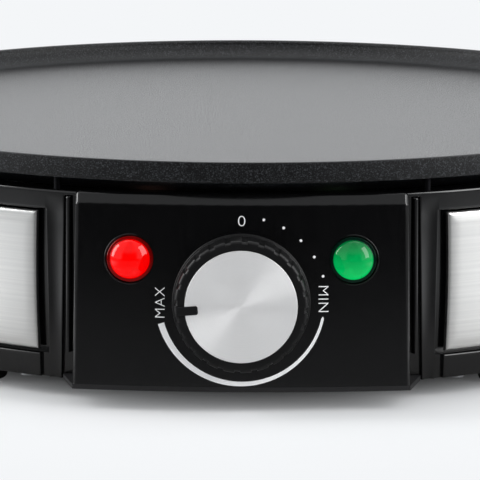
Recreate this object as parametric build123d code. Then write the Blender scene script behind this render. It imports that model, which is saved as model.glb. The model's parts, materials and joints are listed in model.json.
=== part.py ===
"""Electric crepe maker: a round griddle plate on a ring housing, with a control box at the front.

Millimetres, +Z up, the front towards -Y, the floor at Z = 0. The model is built about the plate's axis, and
main() moves it along Y so that the origin lies at the centre of the footprint. Azimuths are in degrees from
the front, positive towards +X.
"""

from build123d import *
import math
import os

# ---- Driving dimensions --------------------------------------------------------------------------

# Griddle plate
PLATE_R = 160.0          # outside of the rim
RIM_W = 10.0             # rim, from the edge of the flat cooking face to its outside
PLATE_T = 5.0            # cast thickness under the cooking face
RIM_WALL_H = 7.0         # outer wall, from the lip to the crest
COOK_DEPTH = 6.5         # cooking face below the crest
CREST_W = 2.5            # width of the rounded crest
LIP_W = 5.4              # flat underside of the lip
UNDER_INSET = 1.0        # edge of the underside inside the edge of the cooking face
PLATE_BOSS_R = 7.0       # bosses for the plate screws
PLATE_BOSS_INSET = 32.0  # their centres inside the edge of the cooking face
PLATE_BOSS_AZ = 50.0     # their azimuth from the front and from the rear

# Heights of the stack
FOOT_STAND = 6.7         # floor to the underside of the base
HOUSING_H = 64.8         # base underside to the top of the ring
PLATE_GAP = 4.5          # ring top to the plate's lip
BOX_RISE = 0.5           # control box top above the ring top

# Ring housing
PLATE_OVERHANG = 2.0     # plate's rim past the ring's top edge
RING_TAPER = 5.5         # ring's radius at the top less its radius at the base
WALL = 2.6               # moulded wall
RING_FLANGE_W = 7.0      # top flange, from the outer edge inward
TOP_EDGE_R = 1.0         # rounding of the ring's top edge
LOW_BAND_H = 8.1         # band below each window
TOP_BAND_H = 6.8         # band above each window
WINDOW_END_AZ = 150.0    # rear end of each window
WINDOW_CORNER_R = 2.0
POCKET_DEPTH = 4.0       # window floor below the ring's outer face
PILLAR_STEP_TOP = 3.8    # from the control box's side to the pillar, seen from the front
PILLAR_STEP_BASE = 4.5
PILLAR_W_TOP = 6.6
PILLAR_W_BASE = 4.2
GROOVE_W = 3.0           # groove from the pillar to the lower band
GROOVE_DEPTH = 1.5       # grooves on both sides of the pillar
BEAD_R = 0.85            # rounded bead beside the control box
BEAD_STEP_TOP = 2.4      # from the control box's side to the bead's centre line
BEAD_STEP_BASE = 2.1
BEAD_LOW = 9.5           # bead's lower end above the base
BEAD_DROP = 1.8          # bead's upper end below the ring's top
FRONT_LAND = 7.6         # ring wall behind each side of the control box, seen from the front

# Steel side panels
PANEL_T = 0.8
PANEL_GAP = 1.1          # panel to window edge, above, below and behind
PANEL_FRONT_GAP = 3.3    # front end of a panel past the pillar's top
PANEL_ROLL_R = 2.2       # rolled outer edges
PANEL_SINK = 0.3         # panel face below the ring's outer face
STUD_R = 1.5
STUD_AZ = (50.0, 90.0, 130.0)
STUD_OUT = 3.0           # stud end past the window floor's inner face
WASHER_R = 4.0
WASHER_T = 0.6

# Control box
BOX_PROUD = 7.5          # front face past the ring's front, at the base
FACE_TILT = 3.0          # lean of the front face, degrees
BOX_BASE_X = 55.7        # half-width at the base
BOX_DRAW = 1.1           # how much less the half-width is at the top
FACE_BOW_R = 370.0       # bow of the front face in plan
BOX_WALL = 2.5
BOX_BEVEL_H = 3.7        # bevel between the face and the top: its height
BOX_BEVEL_BACK = 2.1     # and how far it leans back
BOX_BEVEL_R = 1.6        # rounding at its foot
BOX_CORNER_R = 1.6       # rounding of the side and top edges
FLARE_W = 3.9            # base plate beside the box, where it meets the ring
BOX_BOSS_INSET = 6.3     # boss centre inside the box's side
BOX_BOSS_R = 3.0
BOX_BOSS_LEN = 6.0
BOX_BOSS_LOW = 12.0      # lower bosses above the base
BOX_BOSS_DROP = 14.8     # upper bosses below the ring's top

# Base cover, feet and their screws
BASE_T = 1.6
FIT = 0.3                # loose fit between mouldings
POST_R = 6.5             # pillars that carry the plate
POST_HEAD_RISE = 13.0    # screw seat in each pillar, above the base
FOOT_R = 9.0
FOOT_TREAD_R = 8.0
FOOT_INSET = 12.7        # foot centre inside the ring's base edge
FOOT_AZ = 39.6
FOOT_SOLE_R = 1.5        # rounding of the sole's edge
FOOT_HEAD_COVER = 2.5    # rubber over the foot screw's head
FOOT_BOSS_R = 5.0
FOOT_BOSS_H = 8.0
RING_BOSS_R = 4.0
RING_BOSS_INSET = 8.0    # boss centre inside the ring's base edge
RING_BOSS_H = 14.0
RING_BOSS_AZ = (30.0, 90.0, 150.0)
VENT_W = 3.0
VENT_L = 26.0
VENT_GAP = 4.0           # vent's outer end to the centre of the rib
VENT_COUNT = 12
BASE_RIB_T = 1.8
BASE_RIB_H = 4.0

# Self-tapping screws and the plate screws
SCREW_R = 1.4
SCREW_HEAD_R = 2.8
SCREW_HEAD_H = 1.8
SCREW_LEN = 8.0
CLEAR = 0.3              # screw shank to a clearance hole
TAPPED = 0.05            # screw shank to the hole that it cuts its thread in
HOLE_SPARE = 1.0         # tapped hole past the end of its screw
PLATE_SCREW_R = 2.5
PLATE_SCREW_HEAD_R = 4.4
PLATE_SCREW_HEAD_H = 3.6
PLATE_SCREW_BITE = 9.0   # length inside the plate's boss

# Rim pegs
PEG_R = 1.25
PEG_STEM_R = 0.9
PEG_STEM_L = 1.6
PEG_INSET = 2.2          # peg centre inside the ring's top edge
PEG_AZ = (23.0, 90.0, 157.0)

# Heating element and what is under the plate
ELEMENT_R = 88.0
ELEMENT_TUBE_R = 3.3
ELEMENT_GAP_AZ = 14.0    # half of the gap between its ends
ELEMENT_BEND_R = 10.0
ELEMENT_TAIL = 8.0
PAD_W = 18.0             # pad cast under the plate for the element
PAD_H = 3.0
COLD_PIN_R = 1.2
COLD_PIN_L = 4.0
TAB_W = 6.3              # spade tabs
TAB_T = 0.8
TAB_L = 8.0
STRAP_T = 1.0
STRAP_SLACK = 0.2        # between a strap and the tube that it holds
STRAP_W = 10.0
STRAP_EAR = 8.0
STRAP_AZ = (60.0, 180.0, 300.0)
STRAP_SCREW_LEN = 4.5
REFLECTOR_GAP = 14.5     # reflector's edge inside the ring's base edge
REFLECTOR_T = 0.7
REFLECTOR_DROP = 13.5    # reflector's underside below the plate's underside
REFLECTOR_RIM_H = 7.0
ELEMENT_HOLE_GAP = 1.5   # reflector's hole around each end of the element
BULB_R = 2.5
BULB_L = 60.0
BULB_AT_Y = -48.0
CAPILLARY_R = 0.8
CAPILLARY_HOLE_R = 6.0   # hole in the reflector
CAPILLARY_HOLE_DX = 14.0 # its centre from the end of the bulb, sideways and forward
FUSE_R = 2.0
FUSE_L = 11.0
FUSE_AT = (-38.0, -8.0)

# Knob and thermostat, measured out of the fascia along the knob's axis
KNOB_Z = 30.0            # axis on the front face, above the base
KNOB_GAP = 0.6
SKIRT_R = 22.7
SKIRT_T = 1.7
SKIRT_EDGE_R = 0.5
SKIRT_RIM = 0.7          # skirt outside the grip
GRIP_DRAW = 0.2          # how much less the grip's radius is at its front
GRIP_H = 10.0
GRIP_EDGE_R = 1.4
NOTCH_COUNT = 24
NOTCH_W = 1.9
NOTCH_DEPTH = 0.8
NOTCH_LAND = 0.5         # grip left whole behind the notches
KNOB_WALL = 2.0
DISC_RIM = 3.45          # grip's front edge outside the disc
DISC_T = 0.8
DISC_PROUD = 0.2
DISC_CHAMFER = 0.16
POINTER_W = 2.9
POINTER_L = 4.5
POINTER_CORNER_R = 0.8
POINTER_ROOT = 0.5       # pointer joined into the knob behind the disc
POINTER_AT = 265.6       # pointer at rest, clockwise from the top
SHAFT_R = 3.0
SHAFT_FLAT = 1.6         # flat, from the axis
SHAFT_OUT = 10.2
SHAFT_RUN = 0.05         # running clearance of the shaft
SHAFT_COLLAR_R = 4.6
SHAFT_COLLAR_T = 1.6
SHAFT_COLLAR_DROP = 4.0  # collar behind the thermostat's front plate
SHAFT_PUSH = 0.01        # push fit of the knob on the shaft
HUB_R = 6.0
HUB_GAP = 0.2            # hub's end in front of the skirt's back
SPRING_T = 0.45
SPRING_W = 4.0
SPRING_L = 7.0
SPRING_END_GAP = 1.0     # spring behind the shaft's end
THERMO_W = 44.0
THERMO_H = 32.0
THERMO_PLATE_T = 1.4
THERMO_CAN_W = 30.0
THERMO_CAN_H = 28.0
THERMO_CAN_D = 20.0
THERMO_BUSH_R = 5.0
THERMO_SCREW_X = 18.5
THERMO_SCREW_BITE = 2.4
THERMO_TAB_X = 8.0
THERMO_TAB_DROP = 4.0    # tabs below the knob's axis
TAB_ROOT = 1.0           # tabs inside the thermostat
MOUNT_PAD_T = 1.0        # flat pad behind the bowed fascia
MOUNT_PAD_ROOT = 1.5     # pad inside the fascia
MOUNT_PAD_RIM = 1.0      # pad outside the thermostat's front plate

# Indicator lamps
LAMP_X = 36.6
LAMP_Z = 43.6            # above the base
LAMP_HOLE_R = 8.1
LAMP_RECESS = 1.2
LENS_FLANGE_R = 7.65
LENS_PROUD = 0.3         # lens flange in front of the fascia
DOME_R = 6.45
DOME_H = 3.0
LENS_BARREL_R = 5.3
LENS_BARREL_L = 9.0
LENS_BORE_R = 4.1
NEON_GAP = 1.0           # neon's tip to the lens
NEON_COLLAR_L = 2.0
NEON_R = 3.2
NEON_L = 14.0
CLIP_SIDE = 15.0
CLIP_T = 0.6

# Mains inlet and inner wiring
INLET_Z = 18.0           # above the base
INLET_BORE_R = 3.6
INLET_NECK_R = 5.8
INLET_FLANGE_R = 7.6
INLET_FLANGE_T = 1.8
INLET_NOZZLE_R = 5.2
INLET_NOZZLE_L = 3.0
INLET_THROAT_R = 4.6     # wider throat behind the bore
INLET_THROAT_END = 1.1   # throat's end past the flange's seat
INLET_PAD_R = 10.5
INLET_PAD_D = 7.0
INLET_PAD_PROUD = 1.0    # pad's flat face past the ring's outer face
BLOCK_FROM_REAR = 60.5   # block's centre from the ring's rear, at the base
BLOCK_RIB_GAP = 4.0      # block to the centre of the base rib
BLOCK_W = 36.0
BLOCK_D = 18.0
BLOCK_H = 13.0
BLOCK_PITCH = 11.0
BLOCK_SCREW_UP = 0.5     # terminal screws above the block
WIRE_R = 1.3
LAMP_WIRE_R = 0.8
LAMP_WIRE_TAIL = 12.0    # straight run behind a lamp and behind the thermostat
LAMP_TAB_X = 11.0        # where the lamps' wires meet the thermostat
LAMP_TAB_UP = 9.0

# Points along the inner leads. Each run is (x, y from the block's centre, z above the block's bores)
LIVE_RUN = ((-22.0, -54.0, 2.0), (-20.0, -92.0, 1.0), (-15.0, -142.0, 3.0), (-10.0, -180.0, 8.0))
LIVE_TAB_RUN = 35.0      # straight run behind the thermostat's tab
NEUTRAL_RUN = ((-12.0, -45.0, 6.0), (-32.0, -58.0, 18.0))
EARTH_RUN = ((24.0, -49.0, 8.0), (46.0, -68.0, 22.0))
EARTH_AT = (50.0, 2.0)   # where the earth lead meets the reflector
EARTH_DROP = 14.0        # its upright end
BLOCK_RUN = 10.0         # straight run in front of the block
FUSE_RUN = 12.0          # straight run at each end of the fuse
FUSE_FRONT = (-30.0, -58.0, -20.0)   # lead in front of the fuse: x, y, z from the fuse
TIP_DROP = 10.0          # straight run below each end of the element

# ---- Levels and sizes that follow ----------------------------------------------------------------

Z_BASE = FOOT_STAND
Z_FLOOR = Z_BASE + BASE_T
Z_RING = Z_BASE + HOUSING_H
Z_LIP = Z_RING + PLATE_GAP
Z_CREST = Z_LIP + RIM_WALL_H
Z_COOK = Z_CREST - COOK_DEPTH
Z_UNDER = Z_COOK - PLATE_T
Z_PAD = Z_UNDER - PAD_H
Z_REFLECTOR = Z_UNDER - REFLECTOR_DROP
Z_BOX = Z_RING + BOX_RISE
Z_WINDOW = (Z_BASE + LOW_BAND_H, Z_RING - TOP_BAND_H)
COOK_R = PLATE_R - RIM_W
UNDER_R = COOK_R - UNDER_INSET
LIP_R = PLATE_R - LIP_W
PLATE_BOSS_AT_R = COOK_R - PLATE_BOSS_INSET
HOUSING_TOP_R = PLATE_R - PLATE_OVERHANG
HOUSING_BASE_R = HOUSING_TOP_R - RING_TAPER
REFLECTOR_R = HOUSING_BASE_R - REFLECTOR_GAP
FOOT_AT_R = HOUSING_BASE_R - FOOT_INSET
RING_BOSS_AT_R = HOUSING_BASE_R - RING_BOSS_INSET
PEG_AT_R = HOUSING_TOP_R - PEG_INSET
BLOCK_Y = HOUSING_BASE_R - BLOCK_FROM_REAR
BASE_RIB_R = BLOCK_Y - BLOCK_D / 2 - BLOCK_RIB_GAP
VENT_AT_R = BASE_RIB_R - VENT_GAP - VENT_L / 2
BOX_REACH = HOUSING_BASE_R + BOX_PROUD
BOX_TOP_X = BOX_BASE_X - BOX_DRAW
BOX_BOSS_AZ = math.degrees(math.asin((BOX_BASE_X - BOX_BOSS_INSET) / HOUSING_BASE_R))
BOX_BOSS_LEVELS = (BOX_BOSS_LOW, HOUSING_H - BOX_BOSS_DROP)   # above the base
FLARE_X = BOX_BASE_X + FLARE_W
FRONT_OPEN_X = BOX_TOP_X - FRONT_LAND
PILLAR_IN_TOP = BOX_TOP_X + PILLAR_STEP_TOP
PILLAR_IN_BASE = BOX_BASE_X + PILLAR_STEP_BASE
PILLAR_OUT_TOP = PILLAR_IN_TOP + PILLAR_W_TOP
PILLAR_OUT_BASE = PILLAR_IN_BASE + PILLAR_W_BASE
BAND_END_X = PILLAR_OUT_BASE + GROOVE_W
PANEL_START_X = PILLAR_OUT_TOP + PANEL_FRONT_GAP
GRIP_BASE_R = SKIRT_R - SKIRT_RIM
GRIP_TOP_R = GRIP_BASE_R - GRIP_DRAW
DISC_R = GRIP_TOP_R - DISC_RIM
MARGIN = 1.0             # how far cutters run past the faces that they cut
FAR = 2.5 * PLATE_R      # past the whole object


# ---- Helpers -------------------------------------------------------------------------------------

def ring_r(z):
    """Outer radius of the ring housing at height z."""
    return HOUSING_BASE_R + (HOUSING_TOP_R - HOUSING_BASE_R) * (z - Z_BASE) / HOUSING_H


RING_LEAN = math.degrees(math.atan((HOUSING_TOP_R - HOUSING_BASE_R) / HOUSING_H))


def between(low, high, z):
    """Value at height z on a line from low at the base to high at the ring's top."""
    return low + (high - low) * (z - Z_BASE) / HOUSING_H


def at(azimuth, r, z=0.0):
    a = math.radians(azimuth)
    return Vector(r * math.sin(a), -r * math.cos(a), z)


def turned(points, start=0.0, arc=360.0):
    """Solid turned about Z from (r, z) points, from azimuth start."""
    face = Plane.XZ * make_face(Polyline(*points, close=True))
    return Rot(0, 0, start - 90) * revolve(face, Axis.Z, arc)


def post(x, y, low, high, r):
    return Pos(x, y, (low + high) / 2) * Cylinder(r, high - low)


def block(x0, x1, y0, y1, z0, z1):
    return Pos((x0 + x1) / 2, (y0 + y1) / 2, (z0 + z1) / 2) * Box(x1 - x0, y1 - y0, z1 - z0)


def out_of(plane, r, low, high):
    """Cylinder on a plane's axis, from low to high along its normal."""
    return plane * Pos(0, 0, (low + high) / 2) * Cylinder(r, high - low)


def both_sides(shape):
    return [shape, mirror(shape, about=Plane.YZ)]


def front_prism(points):
    """Prism seen from the front: (x, z) points carried along the front half of the object."""
    face = Plane.XZ * make_face(Polyline(*points, close=True))
    return extrude(face, FAR)


def ring_plane(azimuth, z, inset=0.0):
    """Plane on the ring's outer face, with its normal pointing out of it."""
    a, lean = math.radians(azimuth), math.radians(RING_LEAN)
    out = Vector(math.sin(a) * math.cos(lean), -math.cos(a) * math.cos(lean), -math.sin(lean))
    return Plane(at(azimuth, ring_r(z), z) - out * inset, x_dir=at(azimuth + 90, 1), z_dir=out)


def bow(x):
    return FACE_BOW_R - math.sqrt(FACE_BOW_R ** 2 - x ** 2)


def face_y(x, z):
    """Y of the control box's front face."""
    return -BOX_REACH + (z - Z_BASE) * math.tan(math.radians(FACE_TILT)) + bow(x)


def face_plane(x, above_base):
    """Plane on the front face with its normal pointing out of it and its own Y pointing up."""
    z = Z_BASE + above_base
    yaw, tilt = math.asin(x / FACE_BOW_R), math.radians(FACE_TILT)
    out = Vector(math.sin(yaw) * math.cos(tilt), -math.cos(yaw) * math.cos(tilt), math.sin(tilt))
    return Plane(Vector(x, face_y(x, z), z), x_dir=(math.cos(yaw), math.sin(yaw), 0), z_dir=out)


def screw(plane, length, r=SCREW_R, head_r=SCREW_HEAD_R, head_h=SCREW_HEAD_H):
    """Pan-head screw: the head stands on the plane, the shank points against its normal."""
    return out_of(plane, head_r, 0, head_h) + out_of(plane, r, -length, 0)


def wire(points, r):
    """Insulated lead along straight runs joined by arcs, as large as the runs allow."""
    radii = []
    for a, b, c in zip(points, points[1:], points[2:]):
        first, second = Vector(*b) - Vector(*a), Vector(*c) - Vector(*b)
        run = min(first.length, second.length)
        radii.append(0.45 * run / math.tan(math.radians(first.get_angle(second)) / 2))
    path = FilletPolyline(*points, radius=radii)
    start = Plane(path @ 0, z_dir=path % 0)
    return sweep(start * Circle(r), path)


KNOB_PLANE = face_plane(0, KNOB_Z)


# ---- Griddle plate -------------------------------------------------------------------------------

def boss_spots():
    return [at(a, PLATE_BOSS_AT_R) for a in
            (PLATE_BOSS_AZ, -PLATE_BOSS_AZ, 180 - PLATE_BOSS_AZ, 180 + PLATE_BOSS_AZ)]


def griddle_plate():
    crest_mid = Z_CREST - CREST_W / 2
    outline = [
        Line((0, Z_UNDER), (0, Z_COOK)),
        Line((0, Z_COOK), (COOK_R, Z_COOK)),
        TangentArc((COOK_R, Z_COOK), (PLATE_R - CREST_W, crest_mid), tangent=(1, 0)),
        ThreePointArc((PLATE_R - CREST_W, crest_mid), (PLATE_R - CREST_W / 2, Z_CREST), (PLATE_R, crest_mid)),
        Polyline((PLATE_R, crest_mid), (PLATE_R, Z_LIP), (LIP_R, Z_LIP), (UNDER_R, Z_UNDER), (0, Z_UNDER)),
    ]
    plate = revolve(Plane.XZ * make_face(outline), Axis.Z)
    pad_in, pad_out = ELEMENT_R - PAD_W / 2, ELEMENT_R + PAD_W / 2
    pad_top = Z_UNDER + MARGIN
    plate += turned([(pad_in, Z_PAD), (pad_out, Z_PAD), (pad_out, pad_top), (pad_in, pad_top)])
    for p in boss_spots():
        plate += post(p.X, p.Y, Z_REFLECTOR + REFLECTOR_T, Z_UNDER + MARGIN, PLATE_BOSS_R)
    plate -= Pos(0, 0, Z_PAD) * Torus(ELEMENT_R, ELEMENT_TUBE_R)
    for p in boss_spots():
        top = Z_REFLECTOR + REFLECTOR_T + PLATE_SCREW_BITE + HOLE_SPARE
        plate -= post(p.X, p.Y, Z_REFLECTOR, top, PLATE_SCREW_R + TAPPED)
    for plane in strap_screw_planes():
        plate -= out_of(plane, SCREW_R + TAPPED, -STRAP_SCREW_LEN - TAPPED, 0)
    return plate


# ---- Heating element, sensor bulb and thermal fuse -----------------------------------------------

def saddle(tube_r, drop, screwed=True):
    """Strap under a tube along Y whose centre is drop below the face that the strap is fixed to."""
    half = tube_r + STRAP_T
    body = Pos(0, -drop) * Circle(half)
    body += Pos(0, -drop / 2) * Rectangle(2 * half, drop) if drop else Rectangle(2 * half, STRAP_T)
    body += Pos(0, -STRAP_T / 2) * Rectangle(2 * (half + STRAP_EAR), STRAP_T)
    bore = tube_r + STRAP_SLACK
    body -= Pos(0, -drop) * Circle(bore)
    body -= Pos(0, (FAR - drop) / 2) * Rectangle(2 * bore, FAR + drop)
    body -= Pos(0, FAR / 2) * Rectangle(FAR, FAR)
    strap = extrude(Plane.XZ * body, STRAP_W / 2, both=True)
    ear_x = half + STRAP_EAR / 2
    for x in (ear_x, -ear_x) if screwed else ():
        strap -= post(x, 0, -2 * STRAP_T, STRAP_T, SCREW_R + CLEAR)
    return strap


def strap_places():
    """(location, tube radius, drop) of every strap under the plate."""
    places = []
    for azimuth in STRAP_AZ:
        p = at(azimuth, ELEMENT_R, Z_PAD)
        places.append((Location((p.X, p.Y, p.Z), (0, 0, azimuth - 90)), ELEMENT_TUBE_R, 0.0))
    places.append((Location((0, BULB_AT_Y, Z_UNDER), (0, 0, 90)), BULB_R, BULB_R))
    return places


def strap_screw_planes():
    """Planes on the straps' undersides, facing down, one for every strap screw."""
    planes = []
    for place, tube_r, drop in strap_places():
        ear_x = tube_r + STRAP_T + STRAP_EAR / 2
        for x in (ear_x, -ear_x):
            spot = (place * Pos(x, 0, -STRAP_T)).position
            planes.append(Plane(spot, x_dir=(1, 0, 0), z_dir=(0, 0, -1)))
    return planes


def element_ends():
    """(end of the ring, direction of travel) at both ends of the element."""
    return [(at(s * ELEMENT_GAP_AZ, ELEMENT_R, Z_PAD), at(s * ELEMENT_GAP_AZ + 90, -s)) for s in (1, -1)]


def element_tips():
    return [p + d * ELEMENT_BEND_R - Vector(0, 0, ELEMENT_BEND_R + ELEMENT_TAIL) for p, d in element_ends()]


def heating_element():
    ring = Pos(0, 0, Z_PAD) * Torus(ELEMENT_R, ELEMENT_TUBE_R)
    g = math.radians(ELEMENT_GAP_AZ)
    low, high = Z_PAD - 2 * ELEMENT_TUBE_R, Z_PAD + 2 * ELEMENT_TUBE_R
    gap = Polyline((0, 0), (-FAR * math.sin(g), -FAR * math.cos(g)), (FAR * math.sin(g), -FAR * math.cos(g)),
                   close=True)
    element = ring - Pos(0, 0, low) * extrude(make_face(gap), high - low)
    down = Vector(0, 0, -1)
    for p, d in element_ends():
        bend_end = p + (d + down) * ELEMENT_BEND_R
        eighth = math.sin(math.pi / 4)
        middle = p + (d * eighth + down * (1 - eighth)) * ELEMENT_BEND_R
        path = ThreePointArc(p, middle, bend_end) + Line(bend_end, bend_end + down * ELEMENT_TAIL)
        element += sweep(Plane(p, z_dir=d) * Circle(ELEMENT_TUBE_R), path)
    return element


def element_terminals():
    solids = []
    for tip in element_tips():
        low = tip.Z - COLD_PIN_L
        pin = post(tip.X, tip.Y, low, tip.Z, COLD_PIN_R)
        tab = block(tip.X - TAB_T / 2, tip.X + TAB_T / 2, tip.Y - TAB_W / 2, tip.Y + TAB_W / 2, low - TAB_L,
                    low + COLD_PIN_L / 2)
        solids.append(pin + tab)
    return solids


def element_clamps():
    return [place * saddle(tube_r, drop) for place, tube_r, drop in strap_places()[:-1]]


def bulb_clip():
    place, tube_r, drop = strap_places()[-1]
    return place * saddle(tube_r, drop)


def clamp_screws():
    return [screw(plane, STRAP_SCREW_LEN) for plane in strap_screw_planes()]


def sensor_bulb():
    return Pos(0, BULB_AT_Y, Z_UNDER - BULB_R) * Rot(0, 90, 0) * Cylinder(BULB_R, BULB_L)


def capillary_hole():
    return Vector(BULB_L / 2 + CAPILLARY_HOLE_DX, BULB_AT_Y - CAPILLARY_HOLE_DX)


def capillary_tube():
    start = (BULB_L / 2, BULB_AT_Y, Z_UNDER - BULB_R)
    hole = capillary_hole()
    port = (KNOB_PLANE * Pos(THERMO_CAN_W / 2 - 4, 0, -thermo_depth())).position
    points = [
        start,
        (hole.X - 4, BULB_AT_Y, start[2]),
        (hole.X, hole.Y, Z_REFLECTOR - 3),
        (hole.X - 1, hole.Y - 12, Z_REFLECTOR - 15),
        (port.X + 2, port.Y + 18, port.Z + 2),
        (port.X, port.Y, port.Z),
    ]
    return wire(points, CAPILLARY_R)


def heat_reflector():
    low, high = Z_REFLECTOR, Z_REFLECTOR + REFLECTOR_T
    inner = REFLECTOR_R - REFLECTOR_T
    dish = turned([(0, low), (REFLECTOR_R, low), (REFLECTOR_R, low + REFLECTOR_RIM_H),
                   (inner, low + REFLECTOR_RIM_H), (inner, high), (0, high)])
    for p in boss_spots():
        dish -= post(p.X, p.Y, low - MARGIN, high + MARGIN, PLATE_SCREW_R + CLEAR)
    for tip in element_tips():
        dish -= post(tip.X, tip.Y, low - MARGIN, high + MARGIN, ELEMENT_TUBE_R + ELEMENT_HOLE_GAP)
    hole = capillary_hole()
    dish -= post(hole.X, hole.Y, low - MARGIN, high + MARGIN, CAPILLARY_HOLE_R)
    return dish


def thermal_fuse():
    x, y = FUSE_AT
    return Pos(x, y, Z_REFLECTOR - FUSE_R) * Rot(90, 0, 0) * Cylinder(FUSE_R, FUSE_L)


def fuse_clip():
    """Strap spot-welded under the reflector, around the fuse."""
    x, y = FUSE_AT
    return Pos(x, y, Z_REFLECTOR) * saddle(FUSE_R, FUSE_R, screwed=False)


# ---- Ring housing --------------------------------------------------------------------------------

def ring_cone(grow=0.0):
    """Solid cone inside the ring's outer face, running past both ends."""
    low, high = Z_BASE - MARGIN, Z_BOX + MARGIN
    return turned([(0, low), (ring_r(low) + grow, low), (ring_r(high) + grow, high), (0, high)])


def shell_points(inset, thick, low, high):
    """Profile of a wall that follows the ring's outer face."""
    return [(ring_r(low) - inset, low), (ring_r(high) - inset, high),
            (ring_r(high) - inset - thick, high), (ring_r(low) - inset - thick, low)]


def pillar_prism(side_in, side_out):
    """Front-view prism between two (x at base, x at top) lines on the +X side."""
    low, high = Z_BASE - MARGIN, Z_BOX + MARGIN
    return front_prism([(between(*side_in, low), low), (between(*side_out, low), low),
                        (between(*side_out, high), high), (between(*side_in, high), high)])


def window_cutter():
    low, high = Z_WINDOW
    start = math.degrees(math.asin(PILLAR_IN_TOP / HOUSING_TOP_R))
    grow = POCKET_DEPTH + MARGIN
    pocket = turned(shell_points(-MARGIN, grow, low, high), start, WINDOW_END_AZ - start)
    pocket -= pillar_prism((0, 0), (PILLAR_OUT_BASE, PILLAR_OUT_TOP))
    corners = [e for e in pocket.edges().filter_by(GeomType.LINE)
               if abs(e.tangent_at(0.5).Z) < 0.2 and e.center().Y > 0]
    return fillet(corners, WINDOW_CORNER_R)


def window_seat():
    """Wall behind a window, with the steps that join it to the ring's wall."""
    low, high = Z_WINDOW[0] - WALL, Z_WINDOW[1] + WALL
    step = math.degrees(WALL / HOUSING_BASE_R)
    start = math.degrees(math.asin(PILLAR_IN_BASE / HOUSING_BASE_R))
    thick = POCKET_DEPTH + WALL / 2
    return turned(shell_points(WALL / 2, thick, low, high), start, WINDOW_END_AZ + step - start)


def bead():
    """Upright rounded bead on the ring beside the control box."""
    base_x, top_x = BOX_BASE_X + BEAD_STEP_BASE, BOX_TOP_X + BEAD_STEP_TOP
    ends = []
    for z in (Z_BASE + BEAD_LOW, Z_RING - BEAD_DROP):
        x = between(base_x, top_x, z)
        ends.append(Vector(x, -math.sqrt(ring_r(z) ** 2 - x ** 2), z))
    rod = ends[1] - ends[0]
    plane = Plane(ends[0], z_dir=rod)
    return out_of(plane, BEAD_R, 0, rod.length) + Pos(*ends[1]) * Sphere(BEAD_R)


def base_outline():
    """Plan of the base cover: the disc inside the ring and the tongue under the control box."""
    disc = Circle(ring_r(Z_BASE) - WALL - FIT)
    y_corner = face_y(BOX_BASE_X, Z_BASE)
    y_flare = -math.sqrt(ring_r(Z_BASE) ** 2 - FLARE_X ** 2)
    tongue = make_face([
        ThreePointArc((-BOX_BASE_X, y_corner), (0, -BOX_REACH), (BOX_BASE_X, y_corner)),
        Polyline((BOX_BASE_X, y_corner), (FLARE_X, y_flare), (FLARE_X, y_flare + 4 * WALL),
                 (-FLARE_X, y_flare + 4 * WALL), (-FLARE_X, y_flare), (-BOX_BASE_X, y_corner)),
    ])
    return disc, tongue


def housing_ring():
    high = Z_RING - WALL
    flange_r = HOUSING_TOP_R - RING_FLANGE_W
    ring = turned([(ring_r(Z_BASE), Z_BASE), (HOUSING_TOP_R, Z_RING), (flange_r, Z_RING), (flange_r, high),
                   (ring_r(high) - WALL, high), (ring_r(Z_BASE) - WALL, Z_BASE)])
    top_edge = ring.edges().filter_by(GeomType.CIRCLE).group_by(Axis.Z)[-1].sort_by(SortBy.RADIUS)[-1]
    ring = fillet(top_edge, TOP_EDGE_R)

    groove = shell_points(-MARGIN, GROOVE_DEPTH + MARGIN, Z_BASE - MARGIN, Z_WINDOW[0] + MARGIN)
    beside = pillar_prism((PILLAR_OUT_BASE, PILLAR_OUT_TOP), (BAND_END_X, BAND_END_X))
    band_groove = turned(groove, 15, 30) & beside
    side_high = Z_RING - BEAD_DROP
    side = turned(shell_points(-MARGIN, GROOVE_DEPTH + MARGIN, Z_BASE - MARGIN, side_high), 15, 30)
    side &= pillar_prism((BOX_BASE_X, BOX_BASE_X), (PILLAR_IN_BASE, PILLAR_IN_TOP))
    cutter = window_cutter()
    for seat in both_sides(window_seat()):
        ring += seat
    for cut in both_sides(cutter) + both_sides(band_groove) + both_sides(side):
        ring -= cut
    for rib in both_sides(bead()):
        ring += rib

    ring -= block(-FRONT_OPEN_X, FRONT_OPEN_X, -FAR, -PLATE_R / 2, Z_BASE - MARGIN, Z_BOX + MARGIN)
    ring -= block(-FLARE_X - FIT, FLARE_X + FIT, -FAR, -PLATE_R / 2, Z_BASE - MARGIN, Z_FLOOR)

    for azimuth in RING_BOSS_AZ:
        for s in (1, -1):
            p = at(s * azimuth, RING_BOSS_AT_R)
            ring += post(p.X, p.Y, Z_FLOOR, Z_FLOOR + RING_BOSS_H, RING_BOSS_R)
            ring -= post(p.X, p.Y, Z_BASE, Z_FLOOR + SCREW_LEN, SCREW_R + TAPPED)
    for plane in stud_planes():
        ring -= out_of(plane, STUD_R + CLEAR, -WALL - MARGIN, MARGIN)
    for plane in box_screw_planes():
        ring -= out_of(plane, SCREW_R + CLEAR, -WALL - MARGIN, MARGIN)

    back_y = ring_r(Z_BASE + INLET_Z)
    inlet = Plane((0, back_y, Z_BASE + INLET_Z), x_dir=(1, 0, 0), z_dir=(0, 1, 0))
    ring += out_of(inlet, INLET_PAD_R, INLET_PAD_PROUD - INLET_PAD_D, INLET_PAD_PROUD)
    ring -= out_of(inlet, INLET_NECK_R, -2 * INLET_PAD_D, 2 * INLET_PAD_PROUD)
    for p in (at(s * a, PEG_AT_R) for a in PEG_AZ for s in (1, -1)):
        ring -= post(p.X, p.Y, Z_RING - PEG_STEM_L - TAPPED, Z_RING + MARGIN, PEG_STEM_R)
    return ring


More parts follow.
